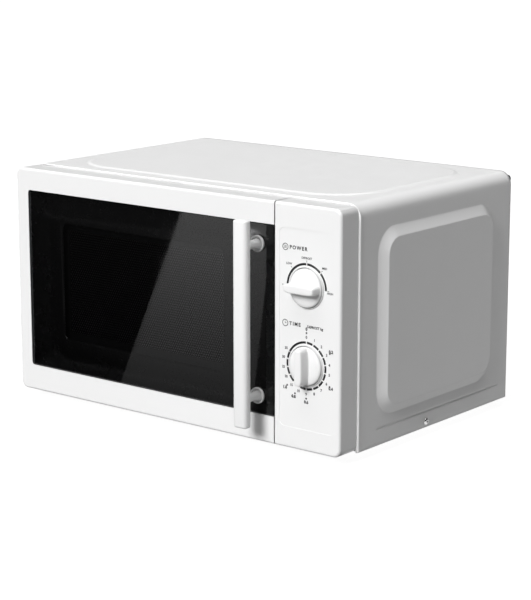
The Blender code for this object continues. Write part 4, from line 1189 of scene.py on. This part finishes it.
class OVEN_OT_dials(Operator):
    """Make both dials"""
    bl_idname = "oven.dials"
    bl_label = "Dials"

    def execute(self, context):
        build_dials()
        return {"FINISHED"}


class OVEN_OT_panel_print(Operator):
    """Print the rings, numbers and signs"""
    bl_idname = "oven.panel_print"
    bl_label = "Panel print"

    def execute(self, context):
        build_print()
        return {"FINISHED"}


class OVEN_OT_cavity(Operator):
    """Finish the cavity and the inside of the door"""
    bl_idname = "oven.cavity"
    bl_label = "Cavity"

    def execute(self, context):
        build_cavity()
        return {"FINISHED"}


class OVEN_OT_turntable(Operator):
    """Press the glass plate and finish the ring under it"""
    bl_idname = "oven.turntable"
    bl_label = "Turntable"

    def execute(self, context):
        build_turntable()
        return {"FINISHED"}


class OVEN_OT_fasteners(Operator):
    """Make the screws on the sides and back"""
    bl_idname = "oven.fasteners"
    bl_label = "Fasteners"

    def execute(self, context):
        build_fasteners()
        return {"FINISHED"}


class OVEN_OT_inner_parts(Operator):
    """Finish the base, the back and the parts inside"""
    bl_idname = "oven.inner_parts"
    bl_label = "Inner parts"

    def execute(self, context):
        build_rest()
        return {"FINISHED"}


class OVEN_OT_stage(Operator):
    """Set the floor, the light and the camera"""
    bl_idname = "oven.stage"
    bl_label = "Stage"

    def execute(self, context):
        build_stage()
        return {"FINISHED"}


STEPS = (OVEN_OT_cabinet, OVEN_OT_front, OVEN_OT_glass, OVEN_OT_screen,
         OVEN_OT_handle, OVEN_OT_dials, OVEN_OT_panel_print, OVEN_OT_cavity,
         OVEN_OT_turntable, OVEN_OT_fasteners, OVEN_OT_inner_parts, OVEN_OT_stage)


class OVEN_PT_pieces(Panel):
    """Lists the pieces and their sizes."""
    bl_idname = "OVEN_PT_pieces"
    bl_label = "Microwave oven"
    bl_space_type = "VIEW_3D"
    bl_region_type = "UI"
    bl_category = "Oven"

    def draw(self, context):
        for group in (context.scene.oven_sizes, context.scene.oven_colours):
            for key in group.__annotations__:
                self.layout.prop(group, key)
        for step in STEPS:
            self.layout.operator(step.bl_idname)


CLASSES = (OvenSizes, OvenColours, *STEPS, OVEN_PT_pieces)


def register():
    for item in CLASSES:
        bpy.utils.register_class(item)
    bpy.types.Scene.oven_sizes = PointerProperty(type=OvenSizes)
    bpy.types.Scene.oven_colours = PointerProperty(type=OvenColours)


def unregister():
    del bpy.types.Scene.oven_colours
    del bpy.types.Scene.oven_sizes
    for item in reversed(CLASSES):
        bpy.utils.unregister_class(item)


def main():
    register()
    for step in STEPS:
        getattr(bpy.ops.oven, step.bl_idname.split(".")[1])()


if __name__ == "__main__":
    main()
